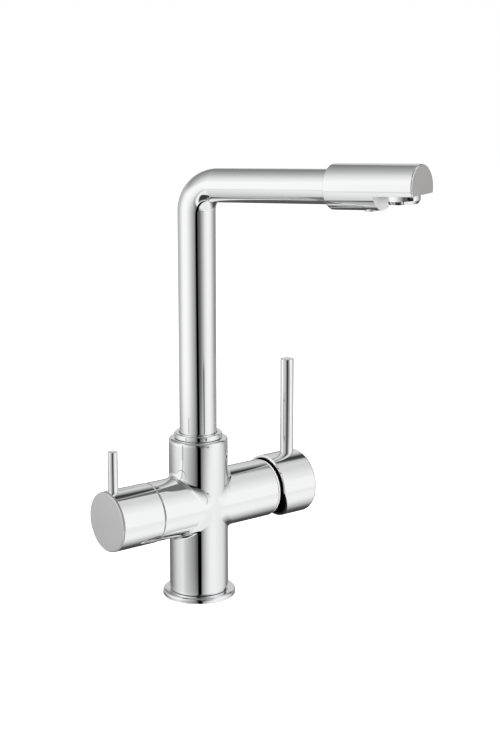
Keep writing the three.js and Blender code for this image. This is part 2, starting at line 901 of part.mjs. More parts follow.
// The carrier turns in the housing with the lever, and its slot lets the stem tilt one way only.
const slotWidth = stemWidth + 2 * running;
const carrierTo = neckFrom + neckLength;
const squareFrom = neckFrom - 0.4; // where the stem's square part starts
const tiltedHalf = stemWidth / 2 / Math.cos(radians(leverTilt)) + seat;
const slotDown = (carrierTo - pivotAt) * Math.tan(radians(leverTilt)) + tiltedHalf;
const slotUp = (pivotAt - squareFrom) * Math.tan(radians(leverTilt)) + tiltedHalf;
const crossPin = (radius, half) => rod(radius, -half, half).rotateX(across).translate(0, 0, pivotAt);
place(
  'cartridge_carrier',
  cut(
    turned(
      [
        [0, carrierFrom],
        [carrierRadius, carrierFrom],
        [carrierRadius, neckFrom],
        [neckRadius, neckFrom],
        [neckRadius, carrierTo],
        [0, carrierTo],
      ],
      middleSides,
    ),
    box(slotDown + slotUp, slotWidth, 4 * neckLength, (slotUp - slotDown) / 2, 0, pivotAt),
    crossPin(pivotPinRadius + seat, 2 * neckRadius),
  ),
  greyPlastic(),
  mixerSide,
);
place(
  'cartridge_pivot_pin',
  crossPin(pivotPinRadius, neckRadius - 0.5),
  steel(),
  mixerSide,
);

/** The stem: a ball that pushes the moving disc, a pivot and a square end for the lever. */
function stem() {
  const squareTo = pivotAt + stemReach;
  const square = squareTo - squareFrom;
  const ball = new THREE.SphereGeometry(stemBall, 12, 8).rotateX(across).translate(0, 0, ballAt);
  const bar = box(stemWidth, stemWidth, square, 0, 0, squareFrom + square / 2);
  const link = rod(stemBall - 0.8, ballAt, squareFrom + 1);
  return cut(joined(bar, link, ball), crossPin(pivotPinRadius + seat, stemWidth));
}

place('cartridge_stem', stem(), brass(), mixerSide);

// The nut has four notches for its key, and the trim ring closes the arm's mouth above it.
const nutBore = neckRadius + 1.8;
const nutNotches = [0, 1, 2, 3].map((i) =>
  box(2 * armThread, 4, 4, armThread, 0, nutFrom + nutLength).rotateZ(across * i),
);
place(
  'cartridge_nut',
  cut(
    ring(nutBore, armThread - threadPlay, nutFrom, nutFrom + nutLength),
    ...nutNotches,
  ),
  brass(),
  mixerSide,
);

// The trim ring stands out of the arm as far as the cap's cut-back rim leaves room, fully tilted.
const rimTilted = pivotAt + (capFrom - pivotAt) * Math.cos(radians(leverTilt));
const coverTo = rimTilted - seat;
const coverBore = nutBore + 1;
const armFace = mixerArmReach + seat;
place(
  'cartridge_cover',
  turned(
    [
      [coverBore, coverFrom],
      [armThread - threadPlay, coverFrom],
      [armThread - threadPlay, armFace],
      [trimRadius, armFace],
      [trimRadius, coverTo - fineEdge],
      [trimRadius - fineEdge, coverTo],
      [armThread - 1.8, coverTo],
      [coverBore, coverFrom],
    ],
    wideSides,
  ),
  chrome(),
  mixerSide,
);

// ---------------------------------------------------------------- The mixer lever

const socketWidth = stemWidth + 2 * seat;
const bossFrom = capFrom + leverBossInset;
const capInner = leverCapRadius - leverCapWall;
const pinAt = capTo - leverPinFromEnd;
const pinFoot = leverCapRadius - 0.6;
const pinStud = 2.9;
const grubAt = bossFrom + 4.5;

/** A rod that stands up from the arm's axis, at a place along the arm. */
function upright(radius, from, to, at, sides = smallSides, edge = 0) {
  return rod(radius, from, to, sides, edge).rotateY(across).translate(0, 0, at);
}

/** The lower half of the rim is cut back by the lever's tilt, so that it clears the arm. */
function tiltRelief() {
  const depth = 2 * leverCapRadius;
  const outline = new THREE.Shape([
    new THREE.Vector2(0, capFrom - 1),
    new THREE.Vector2(0, capFrom),
    new THREE.Vector2(-depth, capFrom + depth * Math.tan(radians(leverTilt))),
    new THREE.Vector2(-depth, capFrom - 1),
  ]);
  const wedge = new THREE.ExtrudeGeometry(outline, { depth: 2 * depth, bevelEnabled: false });
  return wedge.translate(0, 0, -depth).rotateX(across);
}

function leverCap() {
  const shell = turned(
    [
      [0, bossFrom],
      [leverBossRadius, bossFrom],
      [leverBossRadius, capTo - leverCapEnd],
      [capInner, capTo - leverCapEnd],
      [capInner, capFrom],
      [leverCapRadius - plainEdge, capFrom],
      [leverCapRadius, capFrom + plainEdge],
      ...arc(leverCapRadius - leverCapRounding, capTo - leverCapRounding, leverCapRounding, 0, 90),
      [0, capTo],
    ],
    wideSides,
  );
  const socketTo = pivotAt + stemReach + 1;
  const socket = socketTo - bossFrom + 2;
  return cut(
    shell,
    tiltRelief(),
    box(socketWidth, socketWidth, socket, 0, 0, socketTo - socket / 2),
    upright(leverPinRadius + seat, leverCapRadius - 0.9, 2 * leverCapRadius, pinAt, middleSides),
    upright(pinStud + seat, capInner - 1, leverCapRadius, pinAt),
    upright(grubRadius + seat, -leverBossRadius - 1, -socketWidth / 2 + 1, grubAt),
  );
}

place('mixer_lever_cap', leverCap(), chrome(), mixerSide);
place(
  'mixer_lever_pin',
  joined(
    upright(leverPinRadius, pinFoot, leverCapRadius + leverPinLength, pinAt, middleSides, 0.5),
    upright(pinStud, capInner - 3, pinFoot + 1, pinAt),
  ),
  chrome(),
  mixerSide,
);
place(
  'lever_grub_screw',
  cut(
    upright(grubRadius, -leverBossRadius + 0.2, -socketWidth / 2, grubAt),
    upright(1, -leverBossRadius - 1, -leverBossRadius + 1.7, grubAt, 6),
  ),
  steel(),
  mixerSide,
);

// ---------------------------------------------------------------- The filtered water valve

place(
  'filter_seat_seal',
  ring(portRadius + 0.6, valveRadius - 0.1, filterSeat + seat, valveFrom - seat),
  rubber(),
  filterSide,
);

const valveBore = filterDiscRadius + 0.4;
const spindleBore = spindleRadius + running;
const valveStep = valveThreadFrom + 5;
const windowAt = valveFrom + 8;

/** The valve's brass body: bore, thread, spanner flats, neck and two outlet windows. */
function valveBody() {
  const hexRadius = valveHexFlats / 2 / Math.cos(Math.PI / 6);
  const tube = turned([
    [valveBore, valveFrom],
    [valveRadius, valveFrom],
    [valveRadius, valveThreadFrom],
    [valveThread, valveThreadFrom],
    [valveThread, valveNeckFrom - 1],
    [valveNeckRadius, valveNeckFrom - 1],
    [valveNeckRadius, valveTo],
    [spindleBore, valveTo],
    [spindleBore, valveStep],
    [valveBore, valveStep],
    [valveBore, valveFrom],
  ]);
  const flats = ring(spindleBore + 0.5, hexRadius, valveHexFrom, valveNeckFrom, 6);
  const window = rod(2.2, -2 * valveRadius, 2 * valveRadius, 12).rotateX(across);
  return cut(joined(tube, flats), window.translate(0, 0, windowAt));
}

place('filter_valve_body', valveBody(), brass(), filterSide);
place(
  'filter_valve_oring',
  sealRing(valveThread + 1.4, 1.8, filterArmReach - 0.8),
  rubber(),
  filterSide,
);

/** A ceramic disc with a half-moon opening, turned by the angle given in degrees. */
function halfOpenDisc(from, angle) {
  const to = from + filterDiscThickness;
  const inner = filterDiscRadius - 1.4;
  const halfMoon = new THREE.Shape();
  halfMoon.moveTo(0.8, -inner * 0.8);
  halfMoon.absarc(0, 0, inner, -radians(70), radians(70), false);
  halfMoon.lineTo(0.8, inner * 0.8);
  halfMoon.closePath();
  const opening = new THREE.ExtrudeGeometry(halfMoon, {
    depth: filterDiscThickness + 2,
    bevelEnabled: false,
    curveSegments: 10,
  });
  return cut(
    rod(filterDiscRadius, from, to, middleSides),
    opening.translate(0, 0, from - 1).rotateZ(radians(angle)),
  );
}

const filterFixedFrom = valveFrom + 0.4;
const filterTurningFrom = filterFixedFrom + filterDiscThickness + seat;
place('filter_fixed_disc', halfOpenDisc(filterFixedFrom, 0), ceramic(), filterSide);
place('filter_turning_disc', halfOpenDisc(filterTurningFrom, 180), ceramic(), filterSide);

const spindleFrom = filterTurningFrom + filterDiscThickness + seat;
const spindleWaist = 5.2;
const sealAt = valveHexFrom + 2;
const screwRadius = 1.6;

/** The spindle: a waist at the windows, a bearing flange, a seal groove and a splined end. */
function spindle() {
  const body = turned([
    [0, spindleFrom],
    [spindleWaist, spindleFrom],
    [spindleWaist, windowAt + 2.4],
    [filterDiscRadius, windowAt + 2.4],
    [filterDiscRadius, valveStep - running],
    [spindleRadius, valveStep - running],
    ...groove(spindleRadius, spindleRadius - 1.1, sealAt - 0.8, sealAt + 0.8),
    [spindleRadius, valveTo + 1],
    [0, valveTo + 1],
  ]);
  const teeth = 16;
  const outline = new THREE.Shape(
    Array.from({ length: 2 * teeth }, (_, i) => {
      const radius = i % 2 ? spindleRadius - 0.4 : spindleRadius;
      const angle = (Math.PI * i) / teeth;
      return new THREE.Vector2(radius * Math.cos(angle), radius * Math.sin(angle));
    }),
  );
  const length = spindleReach - valveTo;
  const spline = new THREE.ExtrudeGeometry(outline, { depth: length, bevelEnabled: false });
  const thread = rod(screwRadius + seat, spindleReach - 9, spindleReach + 1, 12);
  return cut(joined(body, spline.translate(0, 0, valveTo)), thread);
}

place('filter_spindle', spindle(), brass(), filterSide);
place(
  'filter_spindle_oring',
  sealRing(spindleRadius - 0.45, 1.2, sealAt, smallSides),
  rubber(),
  filterSide,
);

// ---------------------------------------------------------------- The filtered water knob

const webFrom = spindleReach + seat;
const webTo = webFrom + knobWeb;
const knobInner = knobRadius - knobWall;
const knobPinAt = knobTo + seat + knobDiscThickness - knobPinFromEnd;
const knobPinFoot = knobRadius - 0.6;
const knobStud = 1.9;
const hubBore = spindleRadius + seat;
const hubFrom = valveTo + 1;
const screwHole = screwRadius + 0.6;

place(
  'filter_knob',
  cut(
    turned(
      [
        [hubBore, hubFrom],
        [knobHubRadius, hubFrom],
        [knobHubRadius, webFrom],
        [knobInner, webFrom],
        [knobInner, knobFrom],
        [knobRadius - plainEdge, knobFrom],
        [knobRadius, knobFrom + plainEdge],
        [knobRadius, knobTo - fineEdge],
        [knobRadius - fineEdge, knobTo],
        [knobInner, knobTo],
        [knobInner, webTo],
        [screwHole, webTo],
        [screwHole, webFrom],
        [hubBore, webFrom],
        [hubBore, hubFrom],
      ],
      wideSides,
    ),
    upright(knobPinRadius + seat, knobRadius - 0.9, 2 * knobRadius, knobPinAt),
    upright(knobStud + seat, knobInner - 1, knobRadius, knobPinAt),
  ),
  chrome(),
  filterSide,
);

const discFrom = knobTo + seat;
const discTo = discFrom + knobDiscThickness;
const discRadius = knobRadius - 0.1;
const discRim = 2.8; // the rim that is pressed into the knob
const discEdge = 1;
const rimOuter = knobInner - seat;
const rimInner = rimOuter - 1.9;
place(
  'knob_end_disc',
  turned(
    [
      [0, discFrom],
      [rimInner, discFrom],
      [rimInner, discFrom - discRim],
      [rimOuter, discFrom - discRim],
      [rimOuter, discFrom],
      [discRadius, discFrom],
      ...arc(discRadius - discEdge, discTo - discEdge, discEdge, 0, 90, 2),
      [0, discTo],
    ],
    wideSides,
  ),
  satin(),
  filterSide,
);
place(
  'filter_knob_pin',
  joined(
    upright(knobPinRadius, knobPinFoot, knobRadius + knobPinLength, knobPinAt, 20, 0.5),
    upright(knobStud, knobInner - 1.4, knobPinFoot + 1, knobPinAt),
  ),
  chrome(),
  filterSide,
);

const screwFrom = spindleReach - 8;
const screwTo = webTo + 2.7;
const screwHead = 3.4;
place(
  'knob_screw',
  cut(
    turned(
      [
        [0, screwFrom],
        [screwRadius, screwFrom],
        [screwRadius, webTo + seat],
        [screwHead, webTo + seat],
        [screwHead, screwTo],
        [0, screwTo],
      ],
      smallSides,
    ),
    rod(1.3, screwTo - 1.3, screwTo + 1, 6),
  ),
  steel(),
  filterSide,
);

export default tap;
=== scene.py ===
"""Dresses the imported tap: finely rounded metal shells over the frame, their finishes,
a pale floor, soft studio light and the photograph's camera.

Sizes in the classes are in millimetres; points and meshes are in metres, in the frame's axes:
+Z up the column, +X along the mixer's arm, -Y towards the user.
"""

import json
import logging
import math
from dataclasses import dataclass
from enum import Enum
from functools import cache
from typing import Callable, Iterable, Optional, Sequence

import bmesh
import bpy
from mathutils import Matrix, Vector


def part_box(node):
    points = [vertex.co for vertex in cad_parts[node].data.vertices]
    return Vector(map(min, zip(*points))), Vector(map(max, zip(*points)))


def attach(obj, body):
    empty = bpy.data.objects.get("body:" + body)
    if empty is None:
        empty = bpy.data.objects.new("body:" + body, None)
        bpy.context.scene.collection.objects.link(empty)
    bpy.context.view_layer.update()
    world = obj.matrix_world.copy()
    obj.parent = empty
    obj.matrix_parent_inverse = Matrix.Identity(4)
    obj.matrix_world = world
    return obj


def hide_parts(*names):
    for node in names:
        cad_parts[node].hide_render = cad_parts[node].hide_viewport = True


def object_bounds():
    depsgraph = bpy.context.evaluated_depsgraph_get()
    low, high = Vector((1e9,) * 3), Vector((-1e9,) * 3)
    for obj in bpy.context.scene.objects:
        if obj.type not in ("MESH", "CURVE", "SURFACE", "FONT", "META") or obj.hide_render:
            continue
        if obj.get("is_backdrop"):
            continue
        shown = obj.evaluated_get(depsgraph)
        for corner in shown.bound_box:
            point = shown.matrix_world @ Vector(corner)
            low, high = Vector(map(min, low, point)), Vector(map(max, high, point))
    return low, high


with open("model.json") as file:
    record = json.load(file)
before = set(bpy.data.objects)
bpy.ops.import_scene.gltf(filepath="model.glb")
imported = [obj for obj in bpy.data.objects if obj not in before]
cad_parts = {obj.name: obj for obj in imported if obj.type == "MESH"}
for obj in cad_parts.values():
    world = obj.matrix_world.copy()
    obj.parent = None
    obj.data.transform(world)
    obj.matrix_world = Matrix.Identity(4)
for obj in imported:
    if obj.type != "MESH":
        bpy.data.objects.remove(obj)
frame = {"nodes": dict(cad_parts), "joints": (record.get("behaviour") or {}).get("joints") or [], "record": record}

log = logging.getLogger("tap")

MM = 0.001
X = Vector((1, 0, 0))
Y = Vector((0, 1, 0))
Z = Vector((0, 0, 1))
ARM_HEIGHT = next(j["pos_m"][2] for j in frame["joints"] if j["name"] == "lever_turn") / MM
GAP = 0.3  # Between two pieces at a seat.

Face = bpy.types.MeshPolygon
Node = bpy.types.Node
Object = bpy.types.Object
Socket = bpy.types.NodeSocket
Tree = bpy.types.NodeTree
Row = list[Vector]
Corner = tuple[float, ...]  # Distance from the axis, place along it and, if any, rounding.
Outline = list[tuple[float, float]]
Levels = tuple[tuple[float, float], ...]
Fade = tuple[float, float]  # Where a mask starts to rise and where it is full.


# --- Node groups


class NodeSheet:
    """A node tree with short calls for adding and joining nodes."""

    def __init__(self, tree: Tree) -> None:
        """Keeps the tree that the calls add to."""
        self.tree = tree

    def add(self, kind: str, values: Optional[dict] = None, **settings: object) -> Node:
        """Adds a node.

        Args:
            kind: the node's type name.
            values: input sockets and their values or the sockets that feed them.
            settings: properties of the node itself.

        Returns:
            The new node.
        """
        node = self.tree.nodes.new(kind)
        for name, value in settings.items():
            setattr(node, name, value)
        for key, value in (values or {}).items():
            self.feed(node.inputs[key], value)
        return node

    def feed(self, socket: Socket, value: object) -> None:
        """Feeds an input.

        Args:
            socket: the input.
            value: an output to link to it, or the socket's own value.
        """
        if isinstance(value, Socket):
            self.tree.links.new(value, socket)
        else:
            socket.default_value = value

    def math(self, operation: str, *values: object) -> Socket:
        """A Math node's result for the given operation and inputs."""
        inputs = dict(enumerate(values))
        return self.add("ShaderNodeMath", inputs, operation=operation).outputs[0]

    def product(self, first: object, *others: object) -> Socket:
        """The product of two or more values.

        Args:
            first: a value or socket.
            others: those that it is multiplied by, in order.

        Returns:
            The product's socket.
        """
        for other in others:
            first = self.math("MULTIPLY", first, other)
        return first

    def dot(self, vector: Socket, direction: Vector) -> Socket:
        """The part of a vector that lies along a direction."""
        values = {0: vector, 1: tuple(direction)}
        return self.add("ShaderNodeVectorMath", values, operation="DOT_PRODUCT").outputs["Value"]

    def spread(self, value: object, source: tuple, target: tuple, **settings: str) -> Socket:
        """A value carried over from one stretch to another.

        Args:
            value: the value.
            source: the ends of the stretch that it comes from.
            target: the ends of the stretch that it goes to.
            settings: properties of the node.

        Returns:
            The new value.
        """
        names = ("Value", "From Min", "From Max", "To Min", "To Max")
        values = dict(zip(names, (value, *source, *target)))
        return self.add("ShaderNodeMapRange", values, **settings).outputs[0]

    def rise(self, value: object, low: float, high: float) -> Socket:
        """A smooth step from 0 at low to 1 at high."""
        return self.spread(value, (low, high), (0, 1), interpolation_type="SMOOTHSTEP")

    def noise(self, scale: object, detail: float) -> Socket:
        """Noise over the object's own space."""
        values = {"Vector": self.place(), "Scale": scale, "Detail": detail}
        return self.add("ShaderNodeTexNoise", values).outputs["Fac"]

    def place(self) -> Socket:
        """The place in the object's own space."""
        return self.add("ShaderNodeTexCoord").outputs["Object"]

    def ramp(self, value: object, stops: Sequence[tuple[float, float]]) -> Socket:
        """A grey ramp.

        Args:
            value: the place on the ramp, from 0 to 1.
            stops: places and the brightness at each.

        Returns:
            The ramp's colour.
        """
        node = self.add("ShaderNodeValToRGB", {"Fac": value})
        elements = node.color_ramp.elements
        while len(elements) > 1:
            elements.remove(elements[-1])
        elements[0].position = stops[0][0]
        for place, _ in stops[1:]:
            elements.new(place)
        for element, (_, brightness) in zip(elements, stops):
            element.color = grey(brightness)
        return node.outputs["Color"]

    def mix(self, share: object, first: object, second: object) -> Socket:
        """A colour between two.

        Args:
            share: how much of the second there is.
            first: the colour at a share of 0.
            second: the colour at a share of 1.

        Returns:
            The mixed colour.
        """
        node = self.add("ShaderNodeMix", {"Factor": share}, data_type="RGBA")
        colours = [socket for socket in node.inputs if socket.type == "RGBA"]
        self.feed(colours[0], first)
        self.feed(colours[1], second)
        return next(socket for socket in node.outputs if socket.type == "RGBA")


def grey(brightness: float) -> tuple[float, float, float, float]:
    """A grey as a colour with alpha."""
    return (brightness, brightness, brightness, 1)


def new_group(
    name: str, inputs: dict[str, float], outputs: Sequence[str]
) -> tuple[Tree, NodeSheet, dict[str, Socket], dict[str, Socket]]:
    """Makes an empty shader group.

    Args:
        name: the group's name.
        inputs: names and first values of its number inputs.
        outputs: names of its number outputs.

    Returns:
        The group, its sheet, the sockets that bring its inputs and those that take its outputs.
    """
    tree = bpy.data.node_groups.new(name, "ShaderNodeTree")
    for title, value in inputs.items():
        socket = tree.interface.new_socket(title, in_out="INPUT", socket_type="NodeSocketFloat")
        socket.default_value = value
    for title in outputs:
        tree.interface.new_socket(title, in_out="OUTPUT", socket_type="NodeSocketFloat")
    sheet = NodeSheet(tree)
    return tree, sheet, sheet.add("NodeGroupInput").outputs, sheet.add("NodeGroupOutput").inputs


# Shader groups that several finishes share. Each is built once.


@cache
def wiping_haze() -> Tree:
    """Wiping and water haze: a roughness that drifts between two values.

    Returns:
        The group.
    """
    inputs = {"Scale": 60.0, "Low": 0.03, "High": 0.08}
    tree, sheet, given, out = new_group("wiping_haze", inputs, ["Roughness"])
    noise = sheet.noise(given["Scale"], 4.0)
    spread = sheet.spread(noise, (0.35, 0.7), (given["Low"], given["High"]))
    sheet.feed(out["Roughness"], spread)
    return tree


@cache
def fine_grain() -> Tree:
    """Fine blasted or moulded grain: a height and a shade that vary together.

    Returns:
        The group.
    """
    inputs = {"Scale": 3000.0, "Shade": 0.1}
    tree, sheet, given, out = new_group("fine_grain", inputs, ["Height", "Shade"])
    noise = sheet.noise(given["Scale"], 3.0)
    sheet.feed(out["Height"], noise)
    centred = sheet.math("SUBTRACT", noise, 0.5)
    sheet.feed(out["Shade"], sheet.math("MULTIPLY_ADD", centred, given["Shade"], 1.0))
    return tree


@cache
def lathe_marks() -> Tree:
    """Lathe marks: fine rings round an axis along X, given its height.

    Returns:
        The group.
    """
    inputs = {"Axis height": 0.0, "Pitch": 0.0004}
    tree, sheet, given, out = new_group("lathe_marks", inputs, ["Height"])
    parts = sheet.add("ShaderNodeSeparateXYZ", {0: sheet.place()}).outputs
    up = sheet.math("SUBTRACT", parts["Z"], given["Axis height"])
    squares = [sheet.math("POWER", part, 2.0) for part in (up, parts["Y"])]
    distance = sheet.math("SQRT", sheet.math("ADD", *squares))
    count = sheet.math("DIVIDE", distance, given["Pitch"])
    wave = sheet.math("SINE", sheet.product(count, 2 * math.pi))
    sheet.feed(out["Height"], wave)
    return tree


# --- Finishes


class Relief(Enum):
    """The fine relief that a finish shows."""

    NONE = "none"
    GRAIN = "grain"
    TURNED = "turned"


@dataclass(frozen=True)
class Finish:
    """How one kind of surface looks. The relief's sizes are in millimetres."""

    name: str
    colour: tuple[float, float, float]
    metallic: float
    roughness: tuple[float, float]
    haze_scale: float
    relief: Relief = Relief.NONE
    relief_size: float = 0.3
    relief_depth: float = 0.01
    shade: float = 0.0
    coat: float = 0.0
    coat_roughness: float = 0.08

    def material(self) -> bpy.types.Material:
        """The finish as a material, made at its first use.

        Returns:
            The material.
        """
        known = bpy.data.materials.get(self.name)
        if known:
            return known
        made = bpy.data.materials.new(self.name)
        made.use_nodes = True
        sheet = NodeSheet(made.node_tree)
        low, high = self.roughness
        values = {"Scale": self.haze_scale, "Low": low, "High": high}
        haze = sheet.add("ShaderNodeGroup", values, node_tree=wiping_haze())
        size = self.relief_size * MM
        values = {"Scale": 1 / size, "Shade": self.shade}
        grain = sheet.add("ShaderNodeGroup", values, node_tree=fine_grain())
        values = {0: self.colour, "Scale": grain.outputs["Shade"]}
        shaded = sheet.add("ShaderNodeVectorMath", values, operation="SCALE")
        inputs = {
            "Metallic": self.metallic,
            "Coat Weight": self.coat,
            "Coat Roughness": self.coat_roughness,
            "Roughness": haze.outputs["Roughness"],
            "Base Color": shaded.outputs["Vector"],
        }
        if self.relief is not Relief.NONE:
            source = grain
            if self.relief is Relief.TURNED:
                values = {"Axis height": ARM_HEIGHT * MM, "Pitch": size}
                source = sheet.add("ShaderNodeGroup", values, node_tree=lathe_marks())
            values = {"Height": source.outputs["Height"], "Distance": self.relief_depth * MM}
            inputs["Normal"] = sheet.add("ShaderNodeBump", values).outputs["Normal"]
        for name, value in inputs.items():
            sheet.feed(made.node_tree.nodes["Principled BSDF"].inputs[name], value)
        return made


CHROME = Finish("polished_chrome", (0.93, 0.935, 0.94), 1.0, (0.02, 0.045), 25.0)
SATIN = Finish(
    "satin_plate", (0.72, 0.71, 0.705), 1.0, (0.36, 0.46), 80.0, Relief.GRAIN, 0.25, 0.012, 0.12
)
# Near-white non-metal finish for the head's step face: painted light, a lit copy of the head's metal.
PAINTED_LIGHT_PLATE = Finish(
    "painted_light_plate", (0.95, 0.95, 0.95), 0.0, (0.4, 0.5), 80.0, Relief.GRAIN, 0.25, 0.008, 0.06
)
RING = Finish("plated_ring", (0.93, 0.93, 0.93), 0.35, (0.2, 0.3), 80.0)
TURNED_SATIN = Finish(
    "turned_satin_disc", (0.84, 0.84, 0.84), 1.0, (0.3, 0.4), 80.0, Relief.TURNED, 0.35, 0.004, 0.08
)
# Near-black inside of bores, pockets and cap rims: partly the unplated cast metal, partly painted shade that
# darkens the recesses.
DARK_CAST_AND_SHADE = Finish(
    "dark_cast_and_painted_shade_inside", (0.03, 0.03, 0.03), 0.6, (0.5, 0.7), 200.0, Relief.GRAIN, 0.5, 0.05, 0.3
)
SLOT_FINISHES: dict[str, Finish] = {
    "chrome": CHROME,
    "satin": TURNED_SATIN,
    "brass": Finish(
        "machined_brass", (0.78, 0.58, 0.26), 1.0, (0.22, 0.34), 120.0,
        Relief.GRAIN, 0.2, 0.006, 0.08,
    ),
    "steel": Finish(
        "plain_steel", (0.62, 0.63, 0.64), 1.0, (0.22, 0.36), 150.0, Relief.GRAIN, 0.15, 0.005
    ),
    "rubber": Finish(
        "seal_rubber", (0.02, 0.02, 0.021), 0.0, (0.55, 0.75), 300.0, Relief.GRAIN, 0.2, 0.01, 0.3
    ),
    "white_plastic": Finish(
        "white_moulding", (0.82, 0.82, 0.8), 0.0, (0.32, 0.45), 150.0,
        Relief.GRAIN, 0.3, 0.006, 0.04,
    ),
    "grey_plastic": Finish(
        "grey_moulding", (0.3, 0.31, 0.32), 0.0, (0.35, 0.5), 150.0,
        Relief.GRAIN, 0.3, 0.008, 0.06,
    ),
    "ceramic": Finish("lapped_ceramic", (0.86, 0.85, 0.8), 0.0, (0.12, 0.2), 200.0, coat=0.3),
}


# --- Mesh tools


def extent(node: str, axis: str) -> tuple[float, float]:
    """Where a node starts and ends along an axis, in millimetres."""
    low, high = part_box(node)
    return getattr(low, axis) / MM, getattr(high, axis) / MM


def half_width(node: str, axis: str) -> float:
    """Half the size of a node along an axis, in millimetres."""
    low, high = extent(node, axis)
    return (high - low) / 2


def rounded(corners: Sequence[Corner], closed: bool = False, steps: int = 5) -> Outline:
    """An outline whose corners are replaced by arcs.

    Args:
        corners: the outline's corners in order.
        closed: whether the last corner joins the first.
        steps: faces in each arc.

    Returns:
        The outline's points.
    """
    points: Outline = []
    places = [Vector(corner[:2]) for corner in corners]
    for index, (here, corner) in enumerate(zip(places, corners)):
        ends_here = not closed and index in (0, len(corners) - 1)
        if len(corner) < 3 or ends_here:
            points.append((here.x, here.y))
            continue
        rounding = corner[2]
        back = (places[index - 1] - here).normalized()
        ahead = (places[(index + 1) % len(places)] - here).normalized()
        half = back.angle(ahead) / 2
        centre = here + (back + ahead).normalized() * (rounding / math.sin(half))
        reach = rounding / math.tan(half)
        start = here + back * reach - centre
        sweep = start.angle_signed(here + ahead * reach - centre)
        for step in range(steps + 1):
            angle = -sweep * step / steps
            cos, sin = math.cos(angle), math.sin(angle)
            turned_x = start.x * cos - start.y * sin
            turned_y = start.x * sin + start.y * cos
            points.append((centre.x + turned_x, centre.y + turned_y))
    return points


@dataclass(frozen=True)
class Spindle:
    """An axis in space that pieces are turned about, with a direction square to it."""

    origin: Vector
    axis: Vector
    side: Vector

    @property
    def cross(self) -> Vector:
        """The direction square to the axis and to the side."""
        return self.axis.cross(self.side)

    def at(self, height: float) -> Vector:
        """The axis's own point at a height in millimetres."""
        return self.origin + self.axis * (height * MM)

    def row(self, radius: float, height: float, sides: int) -> Row:
        """A ring of points round the axis.

        Args:
            radius: the ring's radius in millimetres.
            height: its place along the axis in millimetres.
            sides: how many points it has.

        Returns:
            The points.
        """
        ring: Row = []
        for index in range(sides):
            angle = 2 * math.pi * index / sides
            spoke = self.side * math.cos(angle) + self.cross * math.sin(angle)
            ring.append(self.at(height) + spoke * (radius * MM))
        return ring

    def distance(self, point: Vector) -> float:
        """A point's distance from the axis, in millimetres."""
        return (point - self.origin).cross(self.axis).length / MM


def upright(x: float = 0.0, y: float = 0.0) -> Spindle:
    """The spindle that stands at a place on the worktop."""
    return Spindle(Vector((x, y, 0)) * MM, Z, X)


class Shell:
    """A closed mesh in the making."""

    def __init__(self, name: str) -> None:
        """Starts the mesh of the object that will have the name."""
        self.name = name
        self.mesh = bmesh.new()

    def skin(
        self,
        rows: Sequence[Row],
        loop: bool = False,
        start: Optional[Vector] = None,
        end: Optional[Vector] = None,
    ) -> "Shell":
        """Sews rows of points together.

        Args:
            rows: rings with the same number of points.
            loop: whether the last row joins the first.
            start: a point that closes the first row.
            end: a point that closes the last row.

        Returns:
            The shell itself.
        """
        corners = [[self.mesh.verts.new(point) for point in row] for row in rows]
        pairs = list(zip(corners, corners[1:]))
        if loop:
            pairs.append((corners[-1], corners[0]))
        for near, far in pairs:
            for k in range(len(near)):
                n = (k + 1) % len(near)
                self.mesh.faces.new((near[k], near[n], far[n], far[k]))
        for tip, row in ((start, corners[0]), (end, corners[-1])):
            if tip is not None:
                point = self.mesh.verts.new(tip)
                for k in range(len(row)):
                    self.mesh.faces.new((row[k], row[(k + 1) % len(row)], point))
        return self

    def turn(
        self,
        spindle: Spindle,
        corners: Sequence[Corner],
        sides: int,
        loop: bool = False,
        steps: int = 5,
    ) -> "Shell":
        """Turns an outline about a spindle.

        Args:
            spindle: the axis.
            corners: the outline's corners; a radius of 0 at an end closes it.
            sides: points round the axis.
            loop: whether the outline joins itself.
            steps: faces in each rounding.

        Returns:
            The shell itself.
        """
        outline = rounded(corners, loop, steps)
        start = end = None
        if outline[0][0] == 0:
            start = spindle.at(outline.pop(0)[1])
        if outline[-1][0] == 0:
            end = spindle.at(outline.pop()[1])
        rows = [spindle.row(radius, height, sides) for radius, height in outline]
        return self.skin(rows, loop, start, end)

    def rod(self, spindle: Spindle, radius: float, low: float, high: float, sides: int) -> "Shell":
        """A plain round rod between two places along a spindle."""
        return self.turn(spindle, [(0, low), (radius, low), (radius, high), (0, high)], sides)

    def block(self, spindle: Spindle, section: Outline, near: float, far: float) -> "Shell":
        """Draws a section out along a spindle.

        Args:
            spindle: the direction to draw along.
            section: corners, by their places along the spindle's side and its cross.
            near: where the block starts.
            far: where it ends.

        Returns:
            The shell itself.
        """
        rows = [
            [spindle.at(along) + (spindle.side * a + spindle.cross * b) * MM for a, b in section]
            for along in (near, far)
        ]
        self.skin(rows)
        for row in rows:
            self.mesh.faces.new([self.mesh.verts.new(point) for point in row])
        return self

    def place(self, weld: float) -> Object:
        """Makes the object from the mesh.

        Args:
            weld: points nearer than this, in metres, become one.

        Returns:
            The object, linked to the scene.
        """
        bmesh.ops.remove_doubles(self.mesh, verts=self.mesh.verts[:], dist=weld)
        bmesh.ops.dissolve_degenerate(self.mesh, edges=self.mesh.edges[:], dist=1e-7)
        bmesh.ops.recalc_face_normals(self.mesh, faces=self.mesh.faces[:])
        data = bpy.data.meshes.new(self.name)
        self.mesh.to_mesh(data)
        self.mesh.free()
        return link(self.name, data)

    def finish(
        self, body: str, node: str, finish: Finish = CHROME, slot: str = "chrome"
    ) -> Object:
        """Makes the object, dresses it and lets it ride.

        Args:
            body: the body it moves with.
            node: the frame's node that it stands for.
            finish: its finish.
            slot: not used.

        Returns:
            The object.
        """
        piece = self.place(2e-6)
        piece.data.materials.append(finish.material())
        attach(piece, body)
        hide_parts(node)
        log.info("%s: %d faces on %s", self.name, len(piece.data.polygons), body)
        return piece


